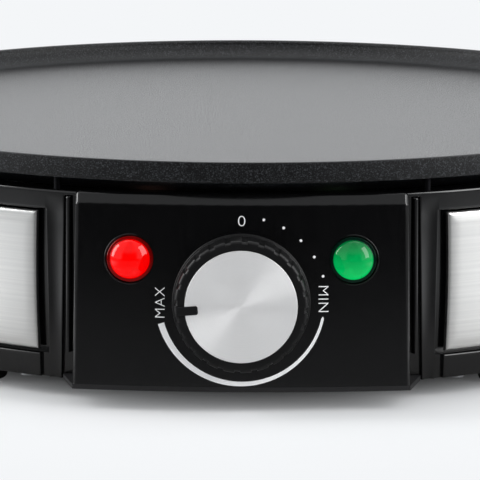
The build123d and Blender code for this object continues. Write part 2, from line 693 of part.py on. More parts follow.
def rim_pegs():
    solids = []
    for p in (at(s * a, PEG_AT_R) for a in PEG_AZ for s in (1, -1)):
        stem = post(p.X, p.Y, Z_RING - PEG_STEM_L, Z_RING, PEG_STEM_R)
        solids.append(post(p.X, p.Y, Z_RING, Z_LIP, PEG_R) + stem)
    return solids


# ---- Steel side panels ---------------------------------------------------------------------------

def stud_planes():
    """Planes on the window floor where the panels' studs pass through it, facing outward."""
    z = (Z_WINDOW[0] + Z_WINDOW[1]) / 2
    return [ring_plane(s * azimuth, z, POCKET_DEPTH) for azimuth in STUD_AZ for s in (1, -1)]


def steel_panel():
    low, high = Z_WINDOW[0] + PANEL_GAP, Z_WINDOW[1] - PANEL_GAP
    rear_gap = math.degrees(PANEL_GAP / HOUSING_BASE_R)
    start = math.degrees(math.asin(PILLAR_OUT_TOP / HOUSING_TOP_R)) - 2
    arc = WINDOW_END_AZ - rear_gap - start

    def body(inset, shrink):
        thick = POCKET_DEPTH - PANEL_SINK
        points = shell_points(PANEL_SINK + inset, thick, low + shrink, high - shrink)
        rear = math.degrees(shrink / HOUSING_BASE_R)
        solid = turned(points, start, arc - rear)
        x = PANEL_START_X + shrink
        return solid - pillar_prism((0, 0), (x, x))

    outer = body(0, 0)
    outer_edges = [e for e in outer.edges()
                   if abs(math.hypot(e.center().X, e.center().Y) - ring_r(e.center().Z) + PANEL_SINK) < 0.5
                   or e.length > 2 * PLATE_R and math.hypot((e @ 0).X, (e @ 0).Y) > ring_r((e @ 0).Z) - 1]
    outer = fillet(outer_edges, PANEL_ROLL_R)
    panel = outer - body(PANEL_T, PANEL_T)
    for plane in stud_planes()[::2]:
        panel += out_of(plane, STUD_R, -WALL - STUD_OUT, POCKET_DEPTH - PANEL_SINK - PANEL_T / 2)
    return panel


def panel_washers():
    solids = []
    for plane in stud_planes():
        seat = -WALL - TAPPED
        solids.append(out_of(plane, WASHER_R, seat - WASHER_T, seat)
                      - out_of(plane, STUD_R, seat - 2 * WASHER_T, seat + MARGIN))
    return solids


# ---- Control box ---------------------------------------------------------------------------------

def box_section(z, inset, back=0):
    """Plan of the control box at height z, drawn in by inset, with its front moved back."""
    share = (z - Z_BASE) / (Z_BOX - Z_BASE)
    x = BOX_BASE_X + (BOX_TOP_X - BOX_BASE_X) * share - inset
    y_mid, y_end = face_y(0, z) + inset + back, face_y(x, z) + inset + back
    y_back = -PLATE_R * 0.75
    return Plane.XY.offset(z) * make_face([
        ThreePointArc((-x, y_end), (0, y_mid), (x, y_end)),
        Polyline((x, y_end), (x, y_back), (-x, y_back), (-x, y_end)),
    ])


def box_screw_planes():
    """Planes on the inside of the ring's wall, facing inward, where the box screws' heads sit."""
    planes = []
    for level in BOX_BOSS_LEVELS:
        for s in (1, -1):
            face = ring_plane(s * BOX_BOSS_AZ, Z_BASE + level, WALL)
            planes.append(Plane(face.origin, x_dir=face.x_dir, z_dir=-face.z_dir))
    return planes


def front_edge(shape, z):
    """The shape's foremost edge at height z."""
    return [e for e in shape.edges().sort_by(Axis.Y) if abs(e.center().Z - z) < TAPPED][0]


def control_box():
    z_bevel = Z_BOX - BOX_BEVEL_H
    sections = [box_section(Z_FLOOR, 0), box_section(z_bevel, 0), box_section(Z_BOX, 0, BOX_BEVEL_BACK)]
    outer = loft(sections, ruled=True)
    outer = fillet(front_edge(outer, z_bevel), BOX_BEVEL_R)
    side_edges = [e for e in outer.edges()
                  if abs(e.center().X) > BOX_TOP_X - 0.5 and e.center().Z > Z_FLOOR + 1
                  and (e.center().Y < -BOX_REACH + 12 or e.center().Z > Z_BOX - 0.1)]
    outer = fillet(side_edges + [front_edge(outer, Z_BOX)], BOX_CORNER_R)
    cavity = loft([box_section(Z_BASE, BOX_WALL), box_section(Z_BOX - BOX_WALL, BOX_WALL)], ruled=True)
    shell = outer - cavity
    for plane in box_screw_planes():
        boss = out_of(plane, BOX_BOSS_R, -WALL - BOX_BOSS_LEN, -WALL + MARGIN)
        shell += (boss & outer) - ring_cone()
    pad_back = thermo_face()
    pad_t = MOUNT_PAD_T + MOUNT_PAD_ROOT
    pad = Box(THERMO_W + 2 * MOUNT_PAD_RIM, THERMO_H + 2 * MOUNT_PAD_RIM, pad_t)
    shell += KNOB_PLANE * Pos(0, 0, pad_back + pad_t / 2) * pad
    for s in (1, -1):
        shell += out_of(face_plane(s * LAMP_X, LAMP_Z), CLIP_SIDE / 2, pad_back, pad_back + pad_t) & outer
    in_opening = FRONT_OPEN_X - FIT
    middle = block(-in_opening, in_opening, -FAR, 0, 0, Z_CREST)
    shell -= ring_cone() - middle
    shell -= post(0, 0, 0, Z_CREST, HOUSING_TOP_R - RING_FLANGE_W)
    for plane in box_screw_planes():
        shell -= out_of(plane, SCREW_R + TAPPED, -WALL - BOX_BOSS_LEN + HOLE_SPARE, 0)
    shell -= out_of(KNOB_PLANE, THERMO_BUSH_R + FIT, 2 * pad_back, MARGIN)
    for plane in thermostat_screw_planes():
        shell -= out_of(plane, SCREW_R + TAPPED, -THERMO_PLATE_T - THERMO_SCREW_BITE - 4 * TAPPED, 0)
    for s in (1, -1):
        lamp = face_plane(s * LAMP_X, LAMP_Z)
        shell -= out_of(lamp, LAMP_HOLE_R, -LAMP_RECESS, DOME_H)
        shell -= out_of(lamp, LENS_BARREL_R + TAPPED, 2 * pad_back, DOME_H)
    return shell


def box_screws():
    solids = []
    for plane in box_screw_planes():
        seat = Plane(plane.origin + plane.z_dir * TAPPED, x_dir=plane.x_dir, z_dir=plane.z_dir)
        solids.append(screw(seat, SCREW_LEN - 1))
    return solids


# ---- Indicator lamps -----------------------------------------------------------------------------

def lens(side):
    lamp = face_plane(side * LAMP_X, LAMP_Z)
    dome_r = (DOME_R ** 2 + DOME_H ** 2) / (2 * DOME_H)
    ball = lamp * Pos(0, 0, LENS_PROUD + DOME_H - dome_r) * Sphere(dome_r)
    dome = ball & out_of(lamp, DOME_R, LENS_PROUD - MARGIN, LENS_PROUD + DOME_H + MARGIN)
    body = out_of(lamp, LENS_FLANGE_R, -LAMP_RECESS, LENS_PROUD) + dome
    body += out_of(lamp, LENS_BARREL_R, -LENS_BARREL_L, -LAMP_RECESS / 2)
    return body - out_of(lamp, LENS_BORE_R, -LENS_BARREL_L - MARGIN, -LAMP_RECESS)


def neon(side):
    lamp = face_plane(side * LAMP_X, LAMP_Z)
    tip = -LAMP_RECESS - NEON_GAP
    tube_end = tip - NEON_L
    bulb = out_of(lamp, NEON_R, tube_end, tip - NEON_R) + lamp * Pos(0, 0, tip - NEON_R) * Sphere(NEON_R)
    collar = out_of(lamp, LENS_BORE_R, -LENS_BARREL_L, -LENS_BARREL_L + NEON_COLLAR_L)
    return bulb + collar


def lens_clips():
    solids = []
    for s in (1, -1):
        lamp = face_plane(s * LAMP_X, LAMP_Z)
        back = thermo_face()
        plate = lamp * Pos(0, 0, back - CLIP_T / 2) * Box(CLIP_SIDE, CLIP_SIDE, CLIP_T)
        solids.append(plate - out_of(lamp, LENS_BARREL_R, back - 2 * CLIP_T, back + MARGIN))
    return solids


# ---- Thermostat and knob -------------------------------------------------------------------------

def thermo_face():
    """Back of the flat pads behind the fascia, along the axis of the knob or lamp that they serve."""
    return -BOX_WALL - MOUNT_PAD_T


def thermo_depth():
    return -thermo_face() + THERMO_PLATE_T + THERMO_CAN_D


def thermostat_screw_planes():
    """Planes on the back of the thermostat's front plate, facing backward."""
    back = thermo_face() - THERMO_PLATE_T
    planes = []
    for x in (THERMO_SCREW_X, -THERMO_SCREW_X):
        spot = (KNOB_PLANE * Pos(x, 0, back)).position
        planes.append(Plane(spot, x_dir=(1, 0, 0), z_dir=-KNOB_PLANE.z_dir))
    return planes


def shaft_collar():
    """(rear, front) of the shaft's collar inside the thermostat."""
    front = thermo_face() - THERMO_PLATE_T - SHAFT_COLLAR_DROP
    return front - SHAFT_COLLAR_T, front


def thermostat_body():
    front = thermo_face()
    back = -thermo_depth()
    plate = KNOB_PLANE * Pos(0, 0, front - THERMO_PLATE_T / 2) * Box(THERMO_W, THERMO_H, THERMO_PLATE_T)
    can = KNOB_PLANE * Pos(0, 0, (front + back) / 2) * Box(THERMO_CAN_W, THERMO_CAN_H, front - back)
    body = plate + can + out_of(KNOB_PLANE, THERMO_BUSH_R, front, 0)
    rear, collar = shaft_collar()
    body -= out_of(KNOB_PLANE, SHAFT_R + SHAFT_RUN, rear, MARGIN)
    body -= out_of(KNOB_PLANE, SHAFT_COLLAR_R + CLEAR, rear - CLEAR, collar + CLEAR)
    for plane in thermostat_screw_planes():
        body -= out_of(plane, SCREW_R + CLEAR, -2 * THERMO_PLATE_T, MARGIN)
    for x in (THERMO_TAB_X, -THERMO_TAB_X):
        body += KNOB_PLANE * Pos(x, -THERMO_TAB_DROP, back - TAB_L / 2 + TAB_ROOT) * Box(TAB_T, TAB_W, TAB_L)
    return body


def thermostat_screws():
    return [screw(plane, THERMO_PLATE_T + THERMO_SCREW_BITE) for plane in thermostat_screw_planes()]


def knob_front():
    return KNOB_GAP + SKIRT_T + GRIP_H


def thermostat_shaft():
    rear, collar = shaft_collar()
    shaft = out_of(KNOB_PLANE, SHAFT_R, rear, SHAFT_OUT) + out_of(KNOB_PLANE, SHAFT_COLLAR_R, rear, collar)
    flat_len = SHAFT_OUT - KNOB_GAP
    flat = Box(4 * SHAFT_R, 2 * SHAFT_R, flat_len)
    return shaft - KNOB_PLANE * Pos(0, SHAFT_FLAT + SHAFT_R, SHAFT_OUT - flat_len / 2) * flat


def on_pointer(shape):
    """Place a shape drawn with the pointer along +X at the pointer's rest angle."""
    return KNOB_PLANE * Rot(0, 0, 90 - POINTER_AT) * shape


def pointer_bar(width, low, high):
    inner, outer = DISC_R - POINTER_L, DISC_R + MARGIN
    bar = Pos((inner + outer) / 2, 0, (low + high) / 2) * Box(outer - inner, width, high - low)
    inner_edges = bar.edges().filter_by(Axis.Z).sort_by(Axis.X)[:2]
    return fillet(inner_edges, POINTER_CORNER_R)


def knob_body():
    back, front = KNOB_GAP, knob_front()
    grip_low = back + SKIRT_T
    skirt = out_of(KNOB_PLANE, SKIRT_R, back, grip_low)
    skirt = fillet(skirt.edges().filter_by(GeomType.CIRCLE), SKIRT_EDGE_R)
    grip = KNOB_PLANE * Pos(0, 0, (grip_low + front) / 2) * Cone(GRIP_BASE_R, GRIP_TOP_R, front - grip_low)
    circles = grip.edges().filter_by(GeomType.CIRCLE)
    rim = [e for e in circles if (e.arc_center - KNOB_PLANE.origin).length > front - 1]
    grip = fillet(rim, GRIP_EDGE_R)
    notch = Box(2 * NOTCH_DEPTH, NOTCH_W, front - grip_low)
    notch = Pos(GRIP_BASE_R, 0, (grip_low + front) / 2 + NOTCH_LAND) * notch
    for k in range(NOTCH_COUNT):
        grip -= KNOB_PLANE * Rot(0, 0, 90 - POINTER_AT + (k + 0.5) * 360 / NOTCH_COUNT) * notch
    body = skirt + grip
    body -= out_of(KNOB_PLANE, GRIP_TOP_R - NOTCH_DEPTH - KNOB_WALL, back - MARGIN, front - KNOB_WALL)
    body -= out_of(KNOB_PLANE, DISC_R + TAPPED, front - DISC_T, front + MARGIN)
    bar = pointer_bar(POINTER_W, front - DISC_T - POINTER_ROOT, front + DISC_PROUD)
    body += on_pointer(bar) & out_of(KNOB_PLANE, DISC_R, 0, front + MARGIN)
    hub_low = back + HUB_GAP
    body += out_of(KNOB_PLANE, HUB_R, hub_low, front - KNOB_WALL + POINTER_ROOT)
    bore = out_of(KNOB_PLANE, SHAFT_R + SHAFT_PUSH, hub_low - MARGIN, SHAFT_OUT + SHAFT_PUSH)
    above = SHAFT_FLAT + SPRING_T
    flat = Box(4 * SHAFT_R, 2 * SHAFT_R, 3 * GRIP_H)
    keep = KNOB_PLANE * Pos(0, above + SHAFT_R, (hub_low + SHAFT_OUT) / 2) * flat
    return body - (bore - keep)


def knob_disc():
    front = knob_front()
    disc = out_of(KNOB_PLANE, DISC_R, front - DISC_T, front + DISC_PROUD)
    circles = disc.edges().filter_by(GeomType.CIRCLE)
    top = [e for e in circles if (e.arc_center - KNOB_PLANE.origin).length > front]
    disc = chamfer(top, DISC_CHAMFER)
    return disc - on_pointer(pointer_bar(POINTER_W, front - 2 * DISC_T, front + 2 * DISC_T))


def knob_spring():
    middle = SHAFT_OUT - SPRING_END_GAP - SPRING_L / 2
    return KNOB_PLANE * Pos(0, SHAFT_FLAT + SPRING_T / 2, middle) * Box(SPRING_W, SPRING_T, SPRING_L)


# ---- Base cover and feet -------------------------------------------------------------------------

def foot_spots():
    return {"foot_front_right": at(FOOT_AZ, FOOT_AT_R), "foot_front_left": at(-FOOT_AZ, FOOT_AT_R),
            "foot_rear_right": at(180 - FOOT_AZ, FOOT_AT_R), "foot_rear_left": at(180 + FOOT_AZ, FOOT_AT_R)}


def base_cover():
    disc, tongue = base_outline()
    plate = Pos(0, 0, Z_BASE) * extrude(disc, BASE_T)
    tongue = Pos(0, 0, Z_BASE) * extrude(tongue, BASE_T)
    plate += tongue
    rib_out = BASE_RIB_R + BASE_RIB_T / 2
    rib_in = BASE_RIB_R - BASE_RIB_T / 2
    rib_top = Z_FLOOR + BASE_RIB_H
    plate += turned([(rib_in, Z_BASE), (rib_out, Z_BASE), (rib_out, rib_top), (rib_in, rib_top)])
    seat = Z_BASE + POST_HEAD_RISE
    for p in boss_spots():
        plate += post(p.X, p.Y, Z_BASE, Z_REFLECTOR, POST_R)
    for p in foot_spots().values():
        plate += post(p.X, p.Y, Z_BASE, Z_FLOOR + FOOT_BOSS_H, FOOT_BOSS_R)
    for p in boss_spots():
        plate -= post(p.X, p.Y, Z_BASE - MARGIN, seat, PLATE_SCREW_HEAD_R + CLEAR)
        plate -= post(p.X, p.Y, Z_BASE - MARGIN, Z_REFLECTOR + MARGIN, PLATE_SCREW_R + CLEAR)
    for p in foot_spots().values():
        plate -= post(p.X, p.Y, Z_BASE - MARGIN, Z_BASE + SCREW_LEN, SCREW_R + TAPPED)
    for azimuth in RING_BOSS_AZ:
        for s in (1, -1):
            p = at(s * azimuth, RING_BOSS_AT_R)
            plate -= post(p.X, p.Y, Z_BASE - MARGIN, Z_FLOOR + MARGIN, SCREW_R + CLEAR)
    slot = extrude(SlotOverall(VENT_L, VENT_W, rotation=90), 2 * BASE_T, both=True)
    slot = Pos(0, -VENT_AT_R, Z_BASE) * slot
    for k in range(VENT_COUNT):
        plate -= Rot(0, 0, (k + 0.5) * 360 / VENT_COUNT) * slot
    return plate


def foot(p):
    profile = [(0, 0), (FOOT_TREAD_R, 0), (FOOT_R, FOOT_STAND / 2), (FOOT_R, Z_BASE), (0, Z_BASE)]
    body = turned(profile)
    sole = body.edges().filter_by(GeomType.CIRCLE).group_by(Axis.Z)[0]
    body = Pos(p.X, p.Y, 0) * fillet(sole, FOOT_SOLE_R)
    body -= post(p.X, p.Y, -MARGIN, foot_head_seat(), SCREW_HEAD_R + CLEAR)
    return body - post(p.X, p.Y, 0, Z_BASE + MARGIN, SCREW_R + CLEAR)


def foot_head_seat():
    return Z_BASE - FOOT_HEAD_COVER


def foot_screws():
    seat = foot_head_seat()
    length = Z_BASE - seat + SCREW_LEN - HOLE_SPARE
    places = [Plane((p.X, p.Y, seat), x_dir=(1, 0, 0), z_dir=(0, 0, -1)) for p in foot_spots().values()]
    return [screw(place, length) for place in places]


def base_screws():
    spots = [at(s * a, RING_BOSS_AT_R, Z_BASE) for a in RING_BOSS_AZ for s in (1, -1)]
    length = BASE_T + SCREW_LEN - HOLE_SPARE
    return [screw(Plane(p, x_dir=(1, 0, 0), z_dir=(0, 0, -1)), length) for p in spots]


def plate_screws():
    seat = Z_BASE + POST_HEAD_RISE
    length = Z_REFLECTOR + REFLECTOR_T + PLATE_SCREW_BITE - seat
    return [screw(Plane((p.X, p.Y, seat), x_dir=(1, 0, 0), z_dir=(0, 0, -1)), length, PLATE_SCREW_R,
                  PLATE_SCREW_HEAD_R, PLATE_SCREW_HEAD_H) for p in boss_spots()]


# ---- Mains inlet and wiring ----------------------------------------------------------------------

def cord_inlet():
    """Gland with a flange on each side of the ring's wall and a short nozzle, whose bore holds the cord."""
    outer_face = ring_r(Z_BASE + INLET_Z) + INLET_PAD_PROUD
    inner_face = outer_face - INLET_PAD_D
    tip = outer_face + INLET_FLANGE_T + INLET_NOZZLE_L
    inlet = Plane((0, 0, Z_BASE + INLET_Z), x_dir=(1, 0, 0), z_dir=(0, 1, 0))
    body = out_of(inlet, INLET_NECK_R, inner_face, outer_face)
    body += out_of(inlet, INLET_FLANGE_R, outer_face, outer_face + INLET_FLANGE_T)
    body += out_of(inlet, INLET_FLANGE_R, inner_face - INLET_FLANGE_T, inner_face)
    body += out_of(inlet, INLET_NOZZLE_R, outer_face, tip)
    body -= out_of(inlet, INLET_THROAT_R, inner_face - 2 * INLET_FLANGE_T, outer_face + INLET_THROAT_END)
    return body - out_of(inlet, INLET_BORE_R, inner_face, tip + MARGIN)


def block_poles():
    return [(k * BLOCK_PITCH, BLOCK_Y) for k in (-1, 0, 1)]


def terminal_block():
    high = Z_FLOOR + BLOCK_H
    body = block(-BLOCK_W / 2, BLOCK_W / 2, BLOCK_Y - BLOCK_D / 2, BLOCK_Y + BLOCK_D / 2, Z_FLOOR, high)
    for x, y in block_poles():
        body -= Pos(x, y, wire_level()) * Rot(90, 0, 0) * Cylinder(WIRE_R + CLEAR, BLOCK_D + MARGIN)
        body -= post(x, y - BLOCK_D / 4, wire_level(), high + MARGIN, SCREW_R + TAPPED)
    return body


def wire_level():
    return Z_FLOOR + BLOCK_H / 2


def terminal_screws():
    return [post(x, y - BLOCK_D / 4, wire_level() + WIRE_R, Z_FLOOR + BLOCK_H + BLOCK_SCREW_UP, SCREW_R)
            for x, y in block_poles()]


def lamp_leads():
    """One sleeved pair of thin wires from each lamp to the back of the thermostat."""
    solids = []
    for s in (1, -1):
        tail = -LAMP_RECESS - NEON_GAP - NEON_L
        lamp = face_plane(s * LAMP_X, LAMP_Z)
        points = [lamp * Pos(0, 0, tail), lamp * Pos(0, 0, tail - LAMP_WIRE_TAIL)]
        tab = KNOB_PLANE * Pos(s * LAMP_TAB_X, LAMP_TAB_UP, -thermo_depth())
        points += [tab * Pos(0, 0, -LAMP_WIRE_TAIL), tab]
        solids.append(wire([tuple(p.position) for p in points], LAMP_WIRE_R))
    return solids


def from_block(pole, run):
    """Points of a lead from one of the block's bores: out of the block, then along its run."""
    x, y, z = pole * BLOCK_PITCH, BLOCK_Y - BLOCK_D / 4, wire_level()
    leaving = [(x, y, z), (x, BLOCK_Y - BLOCK_D / 2 - BLOCK_RUN, z)]
    return leaving + [(px, BLOCK_Y + py, z + pz) for px, py, pz in run]


def leads():
    """The inner leads of wire, by node name, from the terminal block forward."""
    tab_depth = -thermo_depth() - TAB_L + TAB_ROOT
    right_tab, left_tab = [(KNOB_PLANE * Pos(x, -THERMO_TAB_DROP, tab_depth)).position
                           for x in (THERMO_TAB_X, -THERMO_TAB_X)]
    right_tip, left_tip = [tip - Vector(0, 0, COLD_PIN_L + TAB_L) for tip in element_tips()]
    fuse_x, fuse_y = FUSE_AT
    fuse = Vector(fuse_x, fuse_y, Z_REFLECTOR - FUSE_R)
    fuse_rear, fuse_front = fuse + Vector(0, FUSE_L / 2, 0), fuse - Vector(0, FUSE_L / 2, 0)
    earth_x, earth_y = EARTH_AT
    lead_x, lead_y, lead_z = FUSE_FRONT
    return {
        "lead_live": wire(from_block(-1, LIVE_RUN) + [
            tuple(left_tab + Vector(0, LIVE_TAB_RUN, 0)), tuple(left_tab)], WIRE_R),
        "lead_switched": wire([
            tuple(right_tab), tuple(right_tab + Vector(0, TAB_L, -TAB_T)),
            tuple(right_tip - Vector(0, TAB_L + TAB_T, TIP_DROP)), tuple(right_tip - Vector(0, 0, TIP_DROP)),
            tuple(right_tip)], WIRE_R),
        "lead_neutral": wire(from_block(0, NEUTRAL_RUN) + [
            tuple(fuse_rear + Vector(0, FUSE_RUN, -2 * FUSE_R)), tuple(fuse_rear)], WIRE_R),
        "lead_fuse": wire([
            tuple(fuse_front), tuple(fuse_front - Vector(0, FUSE_RUN, FUSE_R)),
            (lead_x, lead_y, fuse.Z + lead_z),
            tuple(left_tip + Vector(-2 * WIRE_R, TAB_L, -TIP_DROP - WIRE_R)),
            tuple(left_tip - Vector(0, 0, TIP_DROP - TAB_T)), tuple(left_tip)], WIRE_R),
        "lead_earth": wire(from_block(1, EARTH_RUN) + [
            (earth_x, earth_y, Z_REFLECTOR - EARTH_DROP), (earth_x, earth_y, Z_REFLECTOR)], WIRE_R),
    }


# ---- Assembly ------------------------------------------------------------------------------------

def all_parts():
    panel = steel_panel()
    parts = {
        "griddle_plate": griddle_plate(),
        "heating_element": heating_element(),
        "element_terminals": element_terminals(),
        "element_clamps": element_clamps(),
        "clamp_screws": clamp_screws(),
        "sensor_bulb": sensor_bulb(),
        "bulb_clip": bulb_clip(),
        "capillary_tube": capillary_tube(),
        "heat_reflector": heat_reflector(),
        "thermal_fuse": thermal_fuse(),
        "fuse_clip": fuse_clip(),
        "plate_screws": plate_screws(),
        "rim_pegs": rim_pegs(),
        "housing_ring": housing_ring(),
        "steel_panel_right": panel,
        "steel_panel_left": mirror(panel, about=Plane.YZ),
        "panel_washers": panel_washers(),
        "control_box": control_box(),
        "box_screws": box_screws(),
        "lens_red": lens(-1),
        "lens_green": lens(1),
        "neon_red": neon(-1),
        "neon_green": neon(1),
        "lens_clips": lens_clips(),
        "lamp_leads": lamp_leads(),
        "thermostat_body": thermostat_body(),
        "thermostat_screws": thermostat_screws(),
        "thermostat_shaft": thermostat_shaft(),
        "knob_body": knob_body(),
        "knob_disc": knob_disc(),
        "knob_spring": knob_spring(),
        "base_cover": base_cover(),
        "base_screws": base_screws(),
        "foot_screws": foot_screws(),
        "cord_inlet": cord_inlet(),
        "terminal_block": terminal_block(),
        "terminal_screws": terminal_screws(),
    }
    parts.update({name: foot(p) for name, p in foot_spots().items()})
    parts.update(leads())
    return parts


def as_one(shape):
    """One shape for a node: a single solid, or a group of separate solids."""
    solids = [s for item in (shape if isinstance(shape, list) else [shape]) for s in item.solids()]
    return solids[0] if len(solids) == 1 else Compound(solids)


def main():
    os.makedirs("parts", exist_ok=True)
    parts = {name: as_one(shape) for name, shape in all_parts().items()}
    boxes = [p.bounding_box() for p in parts.values()]
    front, rear = min(b.min.Y for b in boxes), max(b.max.Y for b in boxes)
    shift = -(front + rear) / 2
    for name, shape in parts.items():
        export_step(Pos(0, shift, 0) * shape, f"parts/{name}.step")
    axis = KNOB_PLANE.z_dir
    spot = KNOB_PLANE.origin + Vector(0, shift, 0)
    print(f"plate axis at y = {shift:.3f}, knob at ({spot.X:.3f}, {spot.Y:.3f}, {spot.Z:.3f})")
    print(f"knob axis ({axis.X:.5f}, {axis.Y:.5f}, {axis.Z:.5f})", end=", ")
    print(f"height {Z_CREST:.2f}, cooking face {Z_COOK:.2f}")


main()
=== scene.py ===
"""Looks for an electric crepe maker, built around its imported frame. Metres, +Z up, the front towards -Y."""

import json
import math

import bmesh
import bpy
import numpy as np
from mathutils import Matrix, Vector


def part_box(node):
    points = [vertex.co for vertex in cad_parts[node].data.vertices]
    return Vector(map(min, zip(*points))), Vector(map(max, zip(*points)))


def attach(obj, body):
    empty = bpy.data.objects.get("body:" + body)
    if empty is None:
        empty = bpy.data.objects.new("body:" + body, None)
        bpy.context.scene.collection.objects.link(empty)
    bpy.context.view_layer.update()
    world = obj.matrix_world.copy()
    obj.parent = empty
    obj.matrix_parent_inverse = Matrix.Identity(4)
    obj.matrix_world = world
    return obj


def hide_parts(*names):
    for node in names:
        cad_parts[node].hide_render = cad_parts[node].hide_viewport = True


bl_info = {
    "name": "Crepe maker",
    "version": (1, 0, 0),
    "blender": (4, 5, 0),
    "location": "View3D > Sidebar > Crepe maker",
    "description": "Griddle plate, housing, control panel and studio for an electric crepe maker",
    "category": "Object",
}

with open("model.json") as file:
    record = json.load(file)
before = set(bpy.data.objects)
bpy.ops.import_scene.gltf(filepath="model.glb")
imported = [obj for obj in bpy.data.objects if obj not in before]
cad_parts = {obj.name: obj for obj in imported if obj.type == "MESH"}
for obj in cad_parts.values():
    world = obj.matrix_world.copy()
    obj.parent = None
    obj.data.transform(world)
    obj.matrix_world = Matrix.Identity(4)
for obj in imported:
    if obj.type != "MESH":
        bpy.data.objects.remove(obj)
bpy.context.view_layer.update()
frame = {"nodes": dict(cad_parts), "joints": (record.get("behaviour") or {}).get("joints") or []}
FULL_TURN = 2 * math.pi


def mm(*values):
    """Millimetres to metres: one value, or a list of them."""
    metres = [value / 1000.0 for value in values]
    return metres if len(metres) > 1 else metres[0]


# ---- Places read from the frame ----

PLATE_LOW, PLATE_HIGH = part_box("griddle_plate")
AXIS_Y = (PLATE_LOW.y + PLATE_HIGH.y) / 2     # the plate's axis
PLATE_OUT = PLATE_HIGH.x                      # outside of the rim
CREST_Z = PLATE_HIGH.z
BASE_Z, RING_TOP = (corner.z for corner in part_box("housing_ring"))
PANEL_LOW, PANEL_HIGH = (corner.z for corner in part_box("steel_panel_left"))
TURN = next(j for j in frame["joints"] if j["name"] == "knob_turn")
KNOB_AT = Vector(TURN["pos_m"])
KNOB_OUT = Vector(TURN["axis"]).normalized()  # out of the fascia
TILT = math.asin(KNOB_OUT.z)                  # lean of the fascia


# ---- Sizes and colours that a user may change ----

def length(name, description, value):
    """A length property whose default is given in millimetres."""
    return bpy.props.FloatProperty(name=name, description=description, default=mm(value), unit="LENGTH",
                                   precision=5)


def paint(name, description, code):
    """A colour property, kept as its sRGB hex code."""
    return bpy.props.StringProperty(name=name, description=description + ", sRGB hex", default=code)


class GriddleProps(bpy.types.PropertyGroup):
    rim: length("Rim width", "From the edge of the flat cooking face to the outside of the rim", 10.0)
    crest: length("Crest width", "Width of the rim's rounded crest", 2.5)
    wall: length("Rim height", "Outer wall, from the lip to the crest", 7.0)
    depth: length("Recess", "Cooking face below the crest", 6.5)
    thick: length("Plate thickness", "Casting under the cooking face", 5.0)
    lip: length("Lip", "Flat underside of the rim", 5.4)
    coat: paint("Coating", "Colour of the non-stick coating", "09090a")
    grain: length("Coating grain", "Size of the grain in the sprayed coating", 0.5)


class HousingProps(bpy.types.PropertyGroup):
    wall: length("Wall", "Moulded wall", 2.6)
    flange: length("Top flange", "Width of the ring's top flange", 7.0)
    edge: length("Top edge", "Rounding of the ring's top edge", 1.0)
    lip: length("Lips", "Rounding of the edges of windows, grooves and pillars", 0.5)
    pocket: length("Pocket", "Window floor below the ring's face", 4.0)
    groove: length("Grooves", "Depth of the grooves beside the pillars", 1.5)
    bead: length("Bead radius", "Rounded bead beside the control panel", 0.85)
    flute: length("Flute", "Hollow of the pillars' faces", 0.6)
    plastic: paint("Housing plastic", "Colour of the gloss moulding", "060607")
    matte: paint("Base plastic", "Colour of the textured base moulding", "141416")
    rubber: paint("Rubber", "Colour of the feet and the cord gland", "101011")


class PanelProps(bpy.types.PropertyGroup):
    roll: length("Rolled edge", "Radius of the panels' rolled edges", 0.9)
    pillow: length("Pillow", "Width of the soft fall of the face towards its edges", 5.0)
    fall: length("Fall", "How far the face falls at its edges before the roll", 0.40)
    waist: length("Waist", "How far an end bows inward between its corners", 0.45)
    gap: length("Panel gap", "Gap from a panel's rear end to the window's", 1.1)
    sheet: length("Sheet", "Thickness of the steel", 0.8)
    start: length("Front end", "Front end of a panel from the mid-plane", 68.3)
    steel: paint("Steel", "Colour of the brushed stainless steel", "e2e2e0")
    streak: length("Brushing", "Width of the widest brush marks", 0.5)


class KnobProps(bpy.types.PropertyGroup):
    skirt: length("Skirt radius", "Outside of the knob's skirt", 22.7)
    grip: length("Grip radius", "Outside of the grip at its base", 22.0)
    notches: bpy.props.IntProperty(name="Notches", description="Finger notches round the grip", default=24,
                                   min=6)
    notch: length("Notch width", "Width of each finger notch", 1.9)
    disc: length("Disc radius", "Spun aluminium disc", 18.35)
    plastic: paint("Knob plastic", "Colour of the satin moulding", "0e0e0f")
    metal: paint("Disc metal", "Colour of the spun aluminium", "fafafa")


class LampProps(bpy.types.PropertyGroup):
    flange: length("Flange radius", "Lens flange in the fascia's recess", 7.65)
    dome: length("Dome radius", "Foot of the lens dome", 6.45)
    hole: length("Hole radius", "Hole for the lens in the fascia", 8.1)
    rise: length("Dome height", "Height of the lens dome", 3.0)
    red: paint("Red lens", "Colour of the power lamp", "ff0000")
    green: paint("Green lens", "Colour of the ready lamp", "00b85a")


class DialProps(bpy.types.PropertyGroup):
    radius: length("Print radius", "Radius of the printed arc about the knob's axis", 27.2)
    dots: length("Dot radius", "Radius of the ring of dots", 27.95)
    ink: paint("Ink", "Colour of the printed marks", "ffffff")


def props(name):
    return getattr(bpy.context.scene, "crepe_" + name)


# ---- Colour and nodes ----

def linear(code, gain=1.0):
    """sRGB hex to Blender's linear colour, made lighter or darker by a gain."""
    values = np.array([int(code[i:i + 2], 16) for i in (0, 2, 4)]) / 255.0
    straight = np.where(values <= 0.04045, values / 12.92, ((values + 0.055) / 1.055) ** 2.4)
    return (*[float(v) * gain for v in straight], 1.0)


def grey(level):
    return (level, level, level, 1.0)


